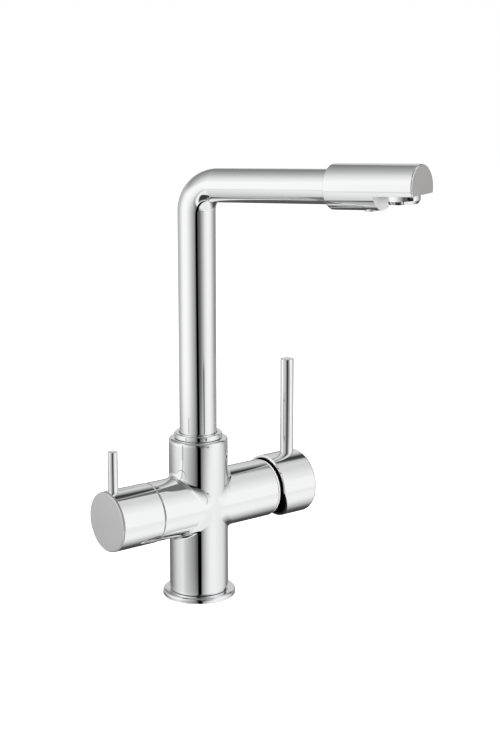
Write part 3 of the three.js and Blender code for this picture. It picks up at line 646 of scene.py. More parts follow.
def link(name: str, data: bpy.types.ID) -> Object:
    """Makes an object and links it to the scene.

    Args:
        name: its name.
        data: its mesh, camera or light.

    Returns:
        The object.
    """
    made = bpy.data.objects.new(name, data)
    bpy.context.scene.collection.objects.link(made)
    return made


def apply_modifier(piece: Object, kind: str, **settings: object) -> None:
    """Gives a piece a modifier and makes it part of the mesh.

    Args:
        piece: the object.
        kind: the modifier's type name.
        settings: its properties.
    """
    step = piece.modifiers.new(kind.lower(), kind)
    for name, value in settings.items():
        setattr(step, name, value)
    bpy.context.view_layer.update()
    graph = bpy.context.evaluated_depsgraph_get()
    data = bpy.data.meshes.new_from_object(piece.evaluated_get(graph))
    piece.modifiers.clear()
    piece.data = data


def cut_away(piece: Object, *tools: Shell) -> None:
    """Cuts shapes out of a piece.

    Args:
        piece: the object.
        tools: the shapes, which are used up.
    """
    for tool in tools:
        cutter = tool.place(1e-7)
        apply_modifier(piece, "BOOLEAN", operation="DIFFERENCE", solver="EXACT", object=cutter)
        bpy.data.objects.remove(cutter)


def soften(piece: Object, sharp: float = 32.0, bevel: float = 0.0) -> None:
    """Rounds a piece's crisp edges and shades it smooth.

    Args:
        piece: the object.
        sharp: edges that turn by more degrees than this stay crisp.
        bevel: width of the rounding in millimetres, or 0 for none.
    """
    angle = math.radians(sharp)
    if bevel:
        apply_modifier(
            piece,
            "BEVEL",
            width=bevel * MM,
            segments=3,
            limit_method="ANGLE",
            angle_limit=angle,
            use_clamp_overlap=True,
        )
    piece.data.shade_smooth()
    piece.data.set_sharp_from_angle(angle=angle)
    apply_modifier(piece, "WEIGHTED_NORMAL", keep_sharp=True, weight=60)


def paint_faces(piece: Object, finish: Finish, chosen: Callable[[Face], bool]) -> None:
    """Gives a second finish to some faces.

    Args:
        piece: the object.
        finish: the finish.
        chosen: the test that picks the faces.
    """
    piece.data.materials.append(finish.material())
    index = len(piece.data.materials) - 1
    for face in piece.data.polygons:
        if chosen(face):
            face.material_index = index


# --- Sub-assemblies


@dataclass
class CastBody:
    """The cross-shaped casting with its sockets, its foot ring and its collar."""

    blend: float = 4.0
    blend_swell: float = 10.0
    blend_pulls: tuple[float, ...] = (0.0, 0.3, 0.62)
    shoulder: float = 2.3
    shoulder_lead: float = 1.0
    arm_edge: float = 0.9
    edge_lead: float = 3.0
    mouth_edge: float = 0.4
    column_mouth: float = 16.9
    column_socket: float = 16.3
    socket_depth: float = 33.4
    sleeve_depth: float = 7.4
    mixer_mouth: float = 19.2
    mixer_thread_depth: float = 15.0
    mixer_bore: float = 17.8
    mixer_seat: float = 26.0
    filter_mouth: float = 12.8
    filter_mouth_depth: float = 2.0
    filter_thread: float = 10.4
    filter_thread_depth: float = 10.0
    filter_bore: float = 8.5
    filter_seat: float = 24.0
    foot_height: float = 4.5
    spigot: float = 20.0
    well: float = 17.0
    well_depth: float = 40.0
    # Places and radii of the three ports and of the stud's hole, drilled up from the well.
    holes: tuple[tuple[float, float, float], ...] = (
        (-10.0, 0.0, 4.5), (5.0, 7.8, 4.5), (5.0, -7.8, 4.5), (13.0, 0.0, 3.4),
    )
    hole_depth: float = 12.0
    drill_lead: float = 2.0
    groove_depth: float = 1.6
    groove_width: float = 3.4
    foot_rounding: float = 1.8
    collar_rounding: float = 1.0
    collar_bore: float = 14.35
    collar_thread: float = 16.5
    sides: int = 160
    blend_steps: int = 12

    def __post_init__(self) -> None:
        """Takes the main sizes from the frame."""
        self.centre = Z * (ARM_HEIGHT * MM)
        self.radius = half_width("body_casting", "y")
        left, self.right = extent("body_casting", "x")
        bottom, top = extent("body_casting", "z")
        self.left = -left
        self.top = top - ARM_HEIGHT
        self.bottom = ARM_HEIGHT - bottom

    def build(self) -> None:
        """Builds the casting, the foot ring and the collar."""
        self._casting()
        self._foot()
        self._collar()

    def _blend_share(self, place: float) -> float:
        """How far a point of the blend's curve lies along a limb.

        Args:
            place: its place on the curve, from 0 on the other limb to 1 on this one.

        Returns:
            The distance as a share of the blend's reach.
        """
        degree = 2 * len(self.blend_pulls) - 1
        return sum(
            (1 - pull) * math.comb(degree, k) * place ** (degree - k) * (1 - place) ** k
            for k, pull in enumerate(self.blend_pulls)
        )

    def _limb_rows(self, limb: Spindle, outline: Outline) -> list[Row]:
        """Rows of one limb of the cross: half of its blends, then its outline.

        Upright planes across the front cut two limbs at right angles, and a smooth curve rounds
        the corner between them. It starts further out towards the front and the back, where the
        limbs' surfaces touch, so the blend runs out there without an edge.

        Args:
            limb: the limb's axis, from the centre of the cross.
            outline: its radius and height from the end of the blends on.

        Returns:
            The rows.
        """
        rows: list[Row] = []
        for step in range(self.blend_steps + 1):
            share = 0.5 + step / self.blend_steps / 2
            own, other = self._blend_share(share), self._blend_share(1 - share)
            row: Row = []
            for k in range(self.sides):
                angle = 2 * math.pi * k / self.sides
                cos, sin = math.cos(angle), math.sin(angle)
                off = abs(cos)
                reach = self.blend * off + self.blend_swell * (1 - off) ** 1.5
                if off < 1e-9:
                    along, aside = (own - other) * reach, 0.0
                else:
                    along = self.radius * off + own * reach
                    aside = self.radius * cos + math.copysign(other * reach, cos)
                place = limb.axis * along + limb.side * aside + Y * (self.radius * sin)
                row.append(self.centre + place * MM)
            rows.append(row)
        return rows + [limb.row(radius, height, self.sides) for radius, height in outline]

    def _casting(self) -> None:
        """The four limbs, each going over its rim and down into its own pocket."""
        top, right, left, bottom = self.top, self.right, self.left, self.bottom
        seat = ARM_HEIGHT - self.foot_height
        up = rounded([
            (self.radius, top - self.shoulder - self.shoulder_lead),
            (self.radius, top, self.shoulder), (self.column_mouth, top, self.mouth_edge),
            (self.column_mouth, top - self.sleeve_depth),
            (self.column_socket, top - self.sleeve_depth),
            (self.column_socket, top - self.socket_depth),
        ], steps=8)
        to_right = rounded([
            (self.radius, right - self.edge_lead), (self.radius, right, self.arm_edge),
            (self.mixer_mouth, right, self.mouth_edge),
            (self.mixer_mouth, right - self.mixer_thread_depth),
            (self.mixer_bore, right - self.mixer_thread_depth), (self.mixer_bore, self.mixer_seat),
        ])
        to_left = rounded([
            (self.radius, left - self.edge_lead), (self.radius, left, self.arm_edge),
            (self.filter_mouth, left, self.mouth_edge),
            (self.filter_mouth, left - self.filter_mouth_depth),
            (self.filter_thread, left - self.filter_mouth_depth),
            (self.filter_thread, left - self.filter_thread_depth),
            (self.filter_bore, left - self.filter_thread_depth),
            (self.filter_bore, self.filter_seat),
        ])
        down = rounded([
            (self.radius, seat - self.edge_lead), (self.radius, seat, 0.3),
            (self.spigot, seat), (self.spigot, bottom, 0.4),
            (self.well, bottom, self.mouth_edge), (self.well, ARM_HEIGHT - self.well_depth),
        ])
        shell = Shell("tap_body_casting")
        limbs = ((Z, X, up), (X, -Z, to_right), (-X, Z, to_left), (-Z, -X, down))
        for axis, side, outline in limbs:
            limb = Spindle(self.centre, axis, side)
            shell.skin(self._limb_rows(limb, outline), end=limb.at(outline[-1][1]))
        piece = shell.finish("tap_body", "body_casting")
        low, high = self.well_depth - self.drill_lead, self.well_depth + self.hole_depth
        cut_away(piece, *(
            Shell("hole_drill").rod(upright(x, y), radius, low, high, 32)
            for x, y, radius in self.holes
        ))
        soften(piece)
        # Pockets and bores take the near-black inside finish: partly unplated metal, partly painted shade.
        paint_faces(piece, DARK_CAST_AND_SHADE, lambda face: self._is_inside(face.center))

    def _is_inside(self, point: Vector) -> bool:
        """Whether a point of the casting lies in one of its pockets or bores.

        Args:
            point: the point in metres.

        Returns:
            True inside.
        """
        place = (point - self.centre) / MM
        from_column = place.xy.length
        from_arms = place.yz.length
        well_top = self.well_depth + self.hole_depth + 1 - ARM_HEIGHT
        within = 0.05
        return (
            (from_column < self.well + GAP and place.z < well_top)
            or (from_column < self.column_mouth - within and place.z > self.radius)
            or (from_arms < self.mixer_mouth - within and place.x > self.radius)
            or (from_arms < self.filter_mouth - within and place.x < -self.radius)
        )

    def _foot(self) -> None:
        """The foot ring, with the gasket's groove in its underside."""
        outer = half_width("base_ring", "x")
        height = extent("base_ring", "z")[1]
        groove_outer = half_width("base_gasket", "x") + GAP
        groove_inner = groove_outer - self.groove_width
        inner = self.spigot + GAP
        corners = [
            (inner, 0), (groove_inner, 0, 0.1),
            (groove_inner, self.groove_depth), (groove_outer, self.groove_depth),
            (groove_outer, 0, 0.1), (outer, 0, 0.4),
            (outer, height, self.foot_rounding), (inner, height, 0.2),
        ]
        ring = Shell("foot_ring").turn(upright(), corners, self.sides, loop=True)
        soften(ring.finish("tap_body", "base_ring"))

    def _collar(self) -> None:
        """The collar round the spout, screwed into the column's mouth."""
        low, high = extent("spout_collar", "z")
        outer = half_width("spout_collar", "x")
        seat = self.top + ARM_HEIGHT + GAP
        corners = [
            (self.collar_bore, low, 0.2), (self.collar_thread, low),
            (self.collar_thread, seat), (outer, seat, 0.25),
            (outer, high, self.collar_rounding), (self.collar_bore, high, 0.35),
        ]
        ring = Shell("collar_ring").turn(upright(), corners, self.sides, loop=True)
        piece = ring.finish("tap_body", "spout_collar")
        soften(piece)
        inside = self.collar_bore + 0.1
        # The collar's bore takes the near-black inside finish: partly unplated metal, partly painted shade.
        paint_faces(piece, DARK_CAST_AND_SHADE, lambda face: upright().distance(face.center) < inside)


@dataclass
class Spout:
    """The spout: tube, head, aerator and filtered water nozzle."""

    swivel: float = 18.8
    rise: float = 3.25
    height: float = 312.8
    bend: float = 20.0
    tube: float = 14.0
    leg: float = 12.3
    wall: float = 1.5
    overlap: float = 15.0
    sleeve_fit: float = 0.15
    head_from: float = 116.2
    head_length: float = 69.0
    head: float = 15.9
    head_edge: float = 0.5
    head_bevel: float = 0.45
    end_rounding: float = 1.0
    cut_length: float = 30.2
    cut_drop: float = 4.8
    cutter_margin: float = 5.0
    drill_end: float = 20.0
    aerator: float = 12.0
    aerator_thread: float = 11.0
    aerator_bore: float = 9.7
    aerator_lip: float = 8.7
    aerator_lip_height: float = 1.1
    aerator_from_end: float = 15.2
    aerator_depth: float = 5.9
    aerator_taper: tuple[float, float] = (1.6, 2.4)
    aerator_thread_length: float = 6.0
    aerator_drill_from: float = -2.6
    nozzle: float = 4.3
    nozzle_from_step: float = 10.0
    nozzle_stand_out: float = 0.6
    nozzle_stem_inset: float = 1.0
    nozzle_stem_length: float = 5.0
    nozzle_wall: float = 1.2
    nozzle_sink: float = 1.4
    nozzle_drill_from: float = 5.5
    nozzle_drill_inset: float = 0.7
    nozzle_seat_sink: float = 1.7
    sides: int = 128
    bend_steps: int = 40
    column_steps: int = 8
    leg_steps: int = 6

    def __post_init__(self) -> None:
        """Sets up the leg's spindle and the places along it."""
        swivel, rise = math.radians(self.swivel), math.radians(self.rise)
        self.ahead = Vector((math.sin(swivel), -math.cos(swivel), 0))
        along = self.ahead * math.cos(rise) + Z * math.sin(rise)
        down = self.ahead * math.sin(rise) - Z * math.cos(rise)
        self.sweep = math.pi / 2 - rise
        self.line = Spindle(Z * (self.height * MM), along, down)
        self.head_to = self.head_from + self.head_length
        self.step_at = self.head_to - self.cut_length
        self.aerator_line = Spindle(self.line.at(self.head_to - self.aerator_from_end), down, along)
        self.nozzle_line = Spindle(self.line.at(self.step_at - self.nozzle_from_step), down, along)

    def build(self) -> None:
        """Builds the visible pieces of the spout."""
        self._tube()
        self._head()
        self._aerator()
        self._nozzle()

    def _ring(self, base: float, share: float, out: float, radius: float) -> Row:
        """A ring round the spout's centre line.

        Args:
            base: where the bend starts.
            share: how much of the bend lies before the ring.
            out: the way along the leg.
            radius: the ring's radius.

        Returns:
            The ring's points.
        """
        angle = self.sweep * share
        sin, cos = math.sin(angle), math.cos(angle)
        forward = self.bend * (1 - cos) + out * sin
        upward = base + self.bend * sin + out * cos
        middle = (self.ahead * forward + Z * upward) * MM
        onward, inward = self.ahead * sin + Z * cos, self.ahead * cos - Z * sin
        return Spindle(middle, onward, inward).row(radius, 0, self.sides)

    def _tube(self) -> None:
        """The tube: column, bend and leg, narrowing through the bend."""
        tangent = self.bend * math.tan(self.sweep / 2)
        base = self.height - tangent
        foot = extent("spout_tube", "z")[0]
        out = self.head_from + self.overlap - tangent
        stations = [
            (foot + (base - foot) * i / self.column_steps, 0.0, 0.0, self.tube)
            for i in range(self.column_steps)
        ]
        for i in range(self.bend_steps + 1):
            share = i / self.bend_steps
            eased = share * share * (3 - 2 * share)
            stations.append((base, share, 0.0, self.tube + (self.leg - self.tube) * eased))
        steps = self.leg_steps
        stations += [(base, 1.0, out * i / steps, self.leg) for i in range(1, steps + 1)]
        outer = [self._ring(*station) for station in stations]
        inner = [self._ring(b, s, o, r - self.wall) for b, s, o, r in reversed(stations)]
        tube = Shell("spout_pipe").skin(outer + inner, loop=True)
        soften(tube.finish("spout", "spout_tube"))

    def _head(self) -> None:
        """The head: a sleeve on the tube's end, with its far part cut flat below."""
        seat = self.head_from + self.overlap + GAP
        bore = self.leg + self.sleeve_fit
        corners = [
            (0, seat), (bore, seat),
            (bore, self.head_from, 0.3), (self.head, self.head_from, self.head_edge),
            (self.head, self.head_to, self.end_rounding), (0, self.head_to),
        ]
        head = Shell("spout_end_sleeve").turn(self.line, corners, self.sides)
        piece = head.finish("spout", "spout_head")
        wide = self.head + self.cutter_margin
        section = [(self.cut_drop, -wide), (self.cut_drop, wide), (wide, wide), (wide, -wide)]
        far = self.head_to + self.cutter_margin
        thread, end, nozzle = self.aerator_thread + GAP, self.drill_end, self.nozzle_line
        bore, seat = self.nozzle - self.nozzle_drill_inset, self.nozzle + self.sleeve_fit
        cut_away(
            piece,
            Shell("flat_cutter").block(self.line, section, self.step_at, far),
            Shell("aerator_drill").rod(self.aerator_line, thread, self.aerator_drill_from, end, 64),
            Shell("nozzle_drill").rod(nozzle, bore, self.nozzle_drill_from, end, 48),
            Shell("seat_drill").rod(nozzle, seat, self.head - self.nozzle_seat_sink, end, 48),
        )
        soften(piece, 40.0, self.head_bevel)
        along = self.line.axis
        middle = self.line.at((self.step_at + self.head_to) / 2).dot(along)
        step = self.line.at(self.step_at - 1).dot(along)
        nearly_square = 0.97

        def faces_ahead(face: Face, low: float, high: float) -> bool:
            """Whether a face looks along the leg and lies between two places along it."""
            ahead = face.normal.dot(along) > nearly_square
            return ahead and low < face.center.dot(along) < high

        paint_faces(piece, SATIN, lambda face: faces_ahead(face, middle, math.inf))
        # The step face takes the near-white finish: painted light that makes it brighter than the end face beside
        # it.
        paint_faces(piece, PAINTED_LIGHT_PLATE, lambda face: faces_ahead(face, step, middle))

    def _aerator(self) -> None:
        """The screwed ring round the honeycomb."""
        seat = self.cut_drop + GAP
        end = seat + self.aerator_depth
        top = seat - self.aerator_thread_length
        across, along = self.aerator_taper
        ledge = end - self.aerator_lip_height
        corners = [
            (self.aerator_bore, top), (self.aerator_thread, top, 0.2),
            (self.aerator_thread, seat), (self.aerator, seat, 0.2),
            (self.aerator, end - along, 0.4), (self.aerator - across, end, 0.4),
            (self.aerator_lip, end, 0.3), (self.aerator_lip, ledge),
            (self.aerator_bore, ledge),
        ]
        ring = Shell("aerator_ring").turn(self.aerator_line, corners, 96, loop=True)
        soften(ring.finish("spout", "aerator_housing"))

    def _nozzle(self) -> None:
        """The filtered water outlet behind the step."""
        seat = self.head - self.nozzle_sink
        end = self.head + self.nozzle_stand_out
        stem = self.nozzle - self.nozzle_stem_inset
        bore = stem - self.nozzle_wall
        corners = [
            (bore, seat - self.nozzle_stem_length), (stem, seat - self.nozzle_stem_length),
            (stem, seat), (self.nozzle, seat),
            (self.nozzle, end, 0.4), (bore, end, 0.6),
        ]
        ring = Shell("filtered_outlet_ring").turn(self.nozzle_line, corners, 64, loop=True)
        soften(ring.finish("spout", "filtered_outlet_nozzle"))


@dataclass(frozen=True)
class Pin:
    """A pin that stands on a turned cap or knob."""

    name: str
    body: str
    node: str
    radius: float
    from_end: float
    sides: int
    chamfer: float = 0.6
    sink: float = 0.6

    def build(self, end: float, inward: float, carrier: float) -> None:
        """Builds the pin.

        Args:
            end: where its carrier ends along the arms.
            inward: the way back from there, 1 along +X or -1 along -X.
            carrier: the carrier's radius.
        """
        foot = ARM_HEIGHT + carrier - self.sink
        top = extent(self.node, "z")[1]
        corners = [
            (0, foot), (self.radius, foot, 0.4), (self.radius, top, self.chamfer), (0, top),
        ]
        spindle = upright(end + inward * self.from_end)
        pin = Shell(self.name).turn(spindle, corners, self.sides)
        soften(pin.finish(self.body, self.node))


@dataclass
class MixerLever:
    """The mixer's lever: a cap with a cut-back rim, a long pin and the trim ring in the arm."""

    wall: float = 1.9
    end_wall: float = 4.0
    rounding: float = 2.2
    inner_rounding: float = 1.5
    rim_rounding: float = 0.1
    rim_bevel: float = 1.2
    rim_slope: float = 0.3
    cut_bevel: float = 0.2
    tilt: float = 22.0
    boss: float = 7.5
    boss_inset: float = 1.75
    stem_socket: float = 8.2
    cutter_margin: float = 1.0
    trim_bore: float = 13.6
    trim_sleeve: float = 18.8
    trim_mouth: float = 17.4
    trim_rounding: float = 0.5
    trim_polish: float = 0.5
    sides: int = 160
    pin: Pin = Pin("lever_rod", "mixer_lever", "mixer_lever_pin", 5.2, 10.7, 72)

    def __post_init__(self) -> None:
        """Takes the main sizes from the frame."""
        self.line = Spindle(Z * (ARM_HEIGHT * MM), X, Z)
        self.radius = half_width("mixer_lever_cap", "y")
        self.near, self.far = extent("mixer_lever_cap", "x")

    def build(self) -> None:
        """Builds the cap, the pin and the trim ring."""
        self._cap()
        self.pin.build(self.far, -1, self.radius)
        self._trim_ring()

    def _cap(self) -> None:
        """The cap, its rim cut back below by the lever's tilt."""
        inner = self.radius - self.wall
        boss_from = self.near + self.boss_inset
        floor = self.far - self.end_wall
        corners = [
            (0, boss_from), (self.boss, boss_from, 0.3),
            (self.boss, floor, self.inner_rounding), (inner, floor, self.inner_rounding),
            (inner, self.near, self.rim_rounding),
            (self.radius - self.rim_bevel, self.near, self.rim_rounding),
            (self.radius, self.near + self.rim_bevel * self.rim_slope, self.rim_rounding),
            (self.radius, self.far, self.rounding), (0, self.far),
        ]
        cap = Shell("lever_cap").turn(self.line, corners, self.sides, steps=7)
        piece = cap.finish("mixer_lever", "mixer_lever_cap")
        cut_away(piece, self._relief(), self._stem_socket())
        soften(piece, 38.0, self.cut_bevel)
        inside, deepest = inner + 0.2, (floor + 1.0) * MM
        # The cap's inside takes the near-black finish: partly unplated metal, partly painted shade in the gap.
        paint_faces(
            piece,
            DARK_CAST_AND_SHADE,
            lambda face: self.line.distance(face.center) < inside and face.center.x < deepest,
        )

    def _relief(self) -> Shell:
        """The wedge that is cut from the rim's lower half.

        Returns:
            The wedge, drawn out across the cap.
        """
        depth = 2 * self.radius
        slope = depth * math.tan(math.radians(self.tilt))
        section = [(0, -self.cutter_margin), (0, 0), (depth, slope), (depth, -self.cutter_margin)]
        across = Spindle(self.line.at(self.near), -Y, -Z)
        return Shell("rim_cutter").block(across, section, depth, -depth)

    def _stem_socket(self) -> Shell:
        """The square socket for the stem.

        Returns:
            The shape to cut out.
        """
        half = self.stem_socket / 2
        section = [(-half, half), (-half, -half), (half, -half), (half, half)]
        start = self.near - 2 * self.cutter_margin
        end = extent("cartridge_stem", "x")[1] + self.cutter_margin
        return Shell("socket_cutter").block(self.line, section, start, end)

    def _trim_ring(self) -> None:
        """The sloped ring in the arm's mouth."""
        near, far = extent("cartridge_cover", "x")
        outer = half_width("cartridge_cover", "y") + self.trim_polish
        face = extent("body_casting", "x")[1] + GAP
        corners = [
            (self.trim_bore, near), (self.trim_sleeve, near),
            (self.trim_sleeve, face), (outer, face, 0.15),
            (outer, far, self.trim_rounding), (self.trim_mouth, far, 0.2),
        ]
        ring = Shell("cartridge_trim_ring").turn(self.line, corners, self.sides, loop=True)
        piece = ring.finish("tap_body", "cartridge_cover", RING)
        soften(piece)
        inside = self.trim_mouth + 0.15
        # The ring's bore takes the near-black inside finish: partly unplated metal, partly painted shade.
        paint_faces(piece, DARK_CAST_AND_SHADE, lambda face: self.line.distance(face.center) < inside)


@dataclass
class FilterKnob:
    """The filtered water knob: a tube with a web inside, a satin end disc and a short pin."""

    wall: float = 2.2
    edge: float = 0.25
    seam: float = 0.35
    hub: float = 8.0
    hub_bore: float = 4.3
    hub_lead: float = 1.0
    screw_hole: float = 2.2
    web: float = 3.0
    web_rounding: float = 0.8
    disc: float = 1.2
    disc_edge: float = 1.0
    disc_rim: float = 1.9
    disc_rim_depth: float = 2.8
    sides: int = 160
    pin: Pin = Pin("knob_rod", "filter_handle", "filter_knob_pin", 3.75, 6.5, 64)

    def __post_init__(self) -> None:
        """Takes the main sizes from the frame. Lengths run outwards along the arm."""
        self.line = Spindle(Z * (ARM_HEIGHT * MM), -X, Z)
        self.radius = half_width("filter_knob", "y")
        self.far, self.near = (-place for place in extent("filter_knob", "x"))
        self.end = -extent("knob_end_disc", "x")[0]

    def build(self) -> None:
        """Builds the knob, its end disc and its pin."""
        self._tube()
        self._disc()
        self.pin.build(-self.end, 1, self.radius)

    def _tube(self) -> None:
        """The knob's tube, with the web and hub that sit on the spindle."""
        inner = self.radius - self.wall
        hub_from = -extent("filter_valve_body", "x")[0] + self.hub_lead
        web_from = -extent("filter_spindle", "x")[0] + GAP
        web_to = web_from + self.web
        corners = [
            (self.hub_bore, hub_from, 0.2), (self.hub, hub_from, 0.3),
            (self.hub, web_from, self.web_rounding), (inner, web_from, self.web_rounding),
            (inner, self.near + self.seam, 0.3), (self.radius, self.near + self.seam, self.edge),
            (self.radius, self.far, self.edge), (inner, self.far, 0.2),
            (inner, web_to), (self.screw_hole, web_to),
            (self.screw_hole, web_from), (self.hub_bore, web_from),
        ]
        knob = Shell("knob_sleeve").turn(self.line, corners, self.sides, loop=True)
        soften(knob.finish("filter_handle", "filter_knob"))

    def _disc(self) -> None:
        """The satin disc, pressed into the knob's end by its rim."""
        seat = self.end - self.disc
        rim = self.radius - self.wall - GAP
        rim_end = seat - self.disc_rim_depth
        outer = half_width("knob_end_disc", "y")
        corners = [
            (0, seat), (rim - self.disc_rim, seat),
            (rim - self.disc_rim, rim_end), (rim, rim_end, 0.2),
            (rim, seat), (outer, seat, 0.15),
            (outer, self.end, self.disc_edge), (0, self.end),
        ]
        disc = Shell("knob_face").turn(self.line, corners, self.sides)
        soften(disc.finish("filter_handle", "knob_end_disc", TURNED_SATIN, "satin"))


# --- Studio


@dataclass
class Surround:
    """The studio that the metal mirrors, by direction: panels, ceiling, ground and small parts.

    Walls: degrees round from the photographer, negative to the left, as seen by the high and by
    the low parts of the object. Ceiling and ground: -1 in front of the object to 1 behind it, on
    the left and on the right. Heights run from -1 below to 1 above.
    """

    away: Vector
    high_walls: Levels = (
        (-180, 0.3), (-150, 0.5), (-128, 0.52), (-96, 0.95), (-84, 1.02), (-66, 1.0), (-48, 0.84),
        (-12, 0.3), (-4, 0.12), (14, 0.1), (22, 0.17), (54, 0.86), (68, 0.97), (84, 0.95),
        (96, 0.82), (126, 0.32), (180, 0.3),
    )
    low_walls: Levels = (
        (-180, 0.14), (-145, 0.16), (-125, 0.28), (-92, 0.7), (-78, 0.76), (-66, 0.82),
        (-52, 0.6), (-16, 0.28), (-6, 0.12), (10, 0.1), (18, 0.36), (30, 0.66), (42, 0.86),
        (56, 0.93), (70, 0.91), (104, 0.79), (120, 0.64), (136, 0.28), (150, 0.24), (180, 0.3),
    )
    left_ceiling: Levels = (
        (-1, 1.0), (-0.3, 0.95), (-0.15, 0.85), (0.2, 0.53), (0.4, 0.4), (0.8, 0.23), (1, 0.22),
    )
    right_ceiling: Levels = (
        (-1, 1.0), (-0.25, 0.94), (-0.05, 0.79), (0.1, 0.69), (0.3, 0.69), (0.4, 0.55),
        (0.47, 0.08), (0.6, 0.03), (0.7, 0.35), (0.8, 0.68), (0.9, 0.66), (1, 0.5),
    )
    left_ground: Levels = (
        (-1, 1.0), (-0.4, 0.9), (-0.2, 0.73), (0.12, 0.52), (0.22, 0.42), (0.34, 0.2),
        (0.45, 0.1), (1, 0.1),
    )
    right_ground: Levels = (
        (-1, 0.86), (-0.3, 0.87), (-0.1, 0.93), (0.02, 0.92), (0.1, 0.83), (0.4, 0.34),
        (0.5, 0.15), (0.6, 0.07), (1, 0.07),
    )
    low_fade: Fade = (-0.22, -0.31)
    right_fade: Fade = (-0.08, 0.0)
    front_fade: Fade = (-0.15, -0.5)
    front_height: float = 0.45
    ceiling_fade: Fade = (0.18, 0.38)
    ground_fade: Fade = (-0.33, -0.42)
    # The dark gap between the front panels leans, from one turn to another between two heights.
    gap_turns: tuple[float, float] = (0.3, 4.7)
    gap_heights: tuple[float, float] = (-0.15, -0.27)

    # The studio's smaller parts, each with its brightness and the fades that bound it: the gap
    # above and below, a lamp stand, a card, the unlit space over and under the photographer, and
    # the light strip behind the object that level faces mirror.
    parts: tuple[tuple[float, dict[str, tuple[Fade, ...]]], ...] = (
        (0.0, {"lean": ((-8.75, -5.25), (8.75, 5.25)), "up": ((-0.04, -0.02), (0.7, 0.5))}),
        (0.0, {"lean": ((-8.75, -5.25), (8.75, 5.25)), "up": ((-0.09, -0.12),)}),
        (0.0, {"turn": ((35.8, 38.2), (44.2, 41.8)), "up": ((-0.218, -0.226), (-0.2672, -0.266))}),
        (0.0, {"turn": ((19.8, 24.2), (68.2, 63.8)), "up": ((-0.056, -0.052), (-0.037, -0.04))}),
        (0.17, {"behind": ((0.12, -0.02),), "off": ((0.6, 0.54),), "up": ((0.68, 0.8),)}),
        (0.04, {
            "behind": ((0.12, -0.02),), "off": ((0.6, 0.54),), "up": ((-0.5, -0.62),),
            "aside": ((0.0, -0.2),),
        }),
        (0.62, {"behind": ((0.85, 0.93),), "up": ((0.12, 0.18), (0.362, 0.346))}),
    )

    def build(self) -> None:
        """Makes the world: the studio for the object, plain white for the camera."""
        world = bpy.data.worlds.new("studio")
        bpy.context.scene.world = world
        world.use_nodes = True
        world.node_tree.nodes.clear()
        sheet = NodeSheet(world.node_tree)
        direction = sheet.add("ShaderNodeTexCoord").outputs["Generated"]
        ways = (self.away, self.away.cross(Z), Z)
        behind, aside, up = (sheet.dot(direction, way) for way in ways)
        round_object = sheet.math("ARCTAN2", aside, sheet.product(behind, -1.0))
        turn = sheet.product(round_object, 180 / math.pi)
        gap = sheet.spread(up, self.gap_heights, self.gap_turns)
        seen = self._panels(sheet, turn, aside, behind, up)
        places = {
            "turn": turn,
            "lean": sheet.math("SUBTRACT", turn, gap),
            "up": up,
            "behind": behind,
            "aside": aside,
            "off": sheet.math("ABSOLUTE", aside),
        }
        for brightness, bounds in self.parts:
            masks = [
                sheet.rise(places[name], *fade) for name, fades in bounds.items() for fade in fades
            ]
            seen = sheet.mix(sheet.product(*masks), seen, grey(brightness))
        ray = sheet.add("ShaderNodeLightPath").outputs["Is Camera Ray"]
        shown = sheet.mix(ray, seen, grey(1))
        light = sheet.add("ShaderNodeBackground", {"Color": shown, "Strength": 1.0})
        sheet.add("ShaderNodeOutputWorld", {"Surface": light.outputs["Background"]})

    def _panels(
        self, sheet: NodeSheet, turn: Socket, aside: Socket, behind: Socket, up: Socket
    ) -> Socket:
        """The lit panels, the ceiling and the ground.

        Args:
            sheet: the world's nodes.
            turn: the direction's degrees round from the photographer.
            aside: how far it lies to the right.
            behind: how far it lies behind the object.
            up: its height.

        Returns:
            Their colour.
        """

        def levels(place: Socket, stops: Levels, end: float) -> Socket:
            """A ramp of brightness over places from -end to end."""
            share = sheet.math("MULTIPLY_ADD", place, 0.5 / end, 0.5)
            return sheet.ramp(share, [(at / end / 2 + 0.5, level) for at, level in stops])

        high, low = (levels(turn, stops, 180) for stops in (self.high_walls, self.low_walls))
        walls = sheet.mix(sheet.rise(up, *self.low_fade), high, low)
        on_right = sheet.rise(aside, *self.right_fade)
        ceiling, ground = (
            sheet.mix(on_right, levels(behind, left, 1), levels(behind, right, 1))
            for left, right in (
                (self.left_ceiling, self.right_ceiling),
                (self.left_ground, self.right_ground),
            )
        )
        # In front the panels stand higher, and the ceiling starts above them.
        ahead = sheet.rise(behind, *self.front_fade)
        height = sheet.math("MULTIPLY_ADD", ahead, -self.front_height, up)
        seen = sheet.mix(sheet.rise(height, *self.ceiling_fade), walls, ceiling)
        return sheet.mix(sheet.rise(up, *self.ground_fade), seen, ground)


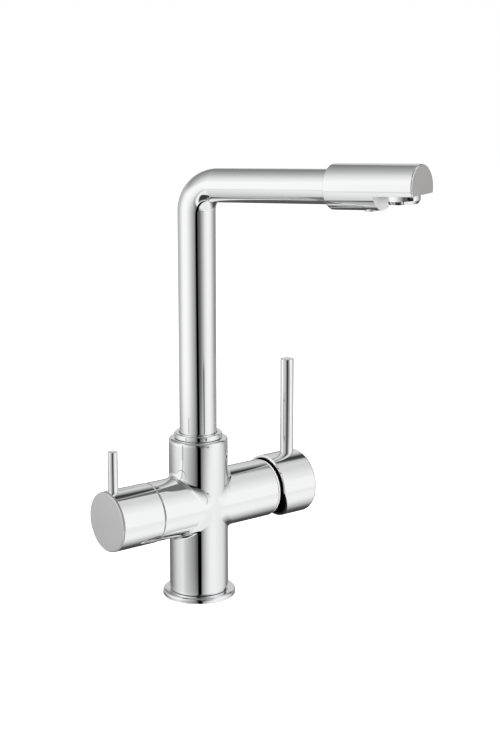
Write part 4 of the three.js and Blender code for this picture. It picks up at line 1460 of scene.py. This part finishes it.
@dataclass
class Studio:
    """The camera, the floor and the light."""

    camera_place: tuple[float, float, float] = (-736.1, -1010.8, 463.4)
    heading: tuple[float, float] = (0.6136, 0.7896)
    pitch: float = 13.17
    focal_pixels: float = 1720.5
    frame_pixels: float = 750.0
    sensor: float = 36.0
    clip_start: float = 0.01
    floor_radius: float = 3000.0
    floor_drop: float = 0.2
    floor_colour: float = 0.9
    floor_glow: float = 0.62
    # Names, places and sizes in metres, and powers.
    lamps: tuple[tuple[str, tuple[float, float, float], float, float], ...] = (
        ("overhead_lamp", (-0.3, -0.4, 1.6), 1.4, 26.0),
        ("left_lamp", (-1.6, -0.6, 0.9), 1.0, 8.0),
        ("right_lamp", (1.1, -1.4, 0.9), 1.0, 8.0),
    )
    lamp_aim: float = 150.0

    def build(self) -> None:
        """Builds the camera, the floor and the light."""
        self._camera()
        self._floor()
        Surround(Vector((*self.heading, 0)).normalized()).build()
        self._lamps()

    def _camera(self) -> None:
        """The photograph's camera."""
        data = bpy.data.cameras.new("photo_camera")
        data.sensor_width = self.sensor
        data.lens = self.focal_pixels * self.sensor / self.frame_pixels
        data.clip_start = self.clip_start
        data.dof.use_dof = False
        camera = link("photo_camera", data)
        camera.location = Vector(self.camera_place) * MM
        pitch = math.radians(self.pitch)
        forward = Vector((*self.heading, 0)) * math.cos(pitch) - Z * math.sin(pitch)
        camera.rotation_euler = forward.to_track_quat("-Z", "Y").to_euler()
        bpy.context.scene.camera = camera

    def _floor(self) -> None:
        """A plain white floor; the metal mirrors the studio's ground in its place."""
        shell = bmesh.new()
        radius = self.floor_radius * MM
        bmesh.ops.create_circle(shell, cap_ends=True, radius=radius, segments=96)
        data = bpy.data.meshes.new("studio_floor")
        shell.to_mesh(data)
        shell.free()
        floor = link("studio_floor", data)
        floor.location.z = -self.floor_drop * MM
        floor.visible_glossy = False
        material = bpy.data.materials.new("studio_floor")
        material.use_nodes = True
        sheet = NodeSheet(material.node_tree)
        ray = sheet.add("ShaderNodeLightPath").outputs["Is Camera Ray"]
        shader = material.node_tree.nodes["Principled BSDF"]
        for name, value in {
            "Base Color": grey(self.floor_colour),
            "Roughness": 0.9,
            "Emission Color": grey(1),
            "Emission Strength": sheet.product(ray, self.floor_glow),
        }.items():
            sheet.feed(shader.inputs[name], value)
        data.materials.append(material)
        floor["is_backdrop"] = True

    def _lamps(self) -> None:
        """Soft lamps for the floor and the plastics; the metal doesn't mirror them."""
        for name, place, size, power in self.lamps:
            data = bpy.data.lights.new(name, "AREA")
            data.size = size
            data.energy = power
            lamp = link(name, data)
            lamp.location = place
            aim = Z * (self.lamp_aim * MM) - Vector(place)
            lamp.rotation_euler = aim.to_track_quat("-Z", "Y").to_euler()
            lamp.visible_glossy = False


# --- The whole tap


def dress_frame() -> None:
    """Gives every CAD node the finish of its material slot."""
    for entry in frame["record"]["subparts"]:
        node = frame["nodes"][entry["node"]]
        material = SLOT_FINISHES[entry["material_slot"]].material()
        for slot in node.material_slots:
            slot.material = material


def corners(bounds: Iterable[Vector]) -> list[list[float]]:
    """A box's corners as plain lists of numbers."""
    return [[float(value) for value in corner] for corner in bounds]


def main() -> None:
    """Dresses the frame, builds the pieces in order and sets up the studio."""
    logging.basicConfig(level=logging.INFO, format="%(name)s: %(message)s")
    cad_box = corners(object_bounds())
    bpy.context.scene.view_settings.view_transform = "Standard"
    dress_frame()
    for assembly in (CastBody(), Spout(), MixerLever(), FilterKnob(), Studio()):
        assembly.build()
        log.info("built %s", type(assembly).__name__)
    {"cad": cad_box, "visual": corners(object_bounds())}


if __name__ == "__main__":
    main()
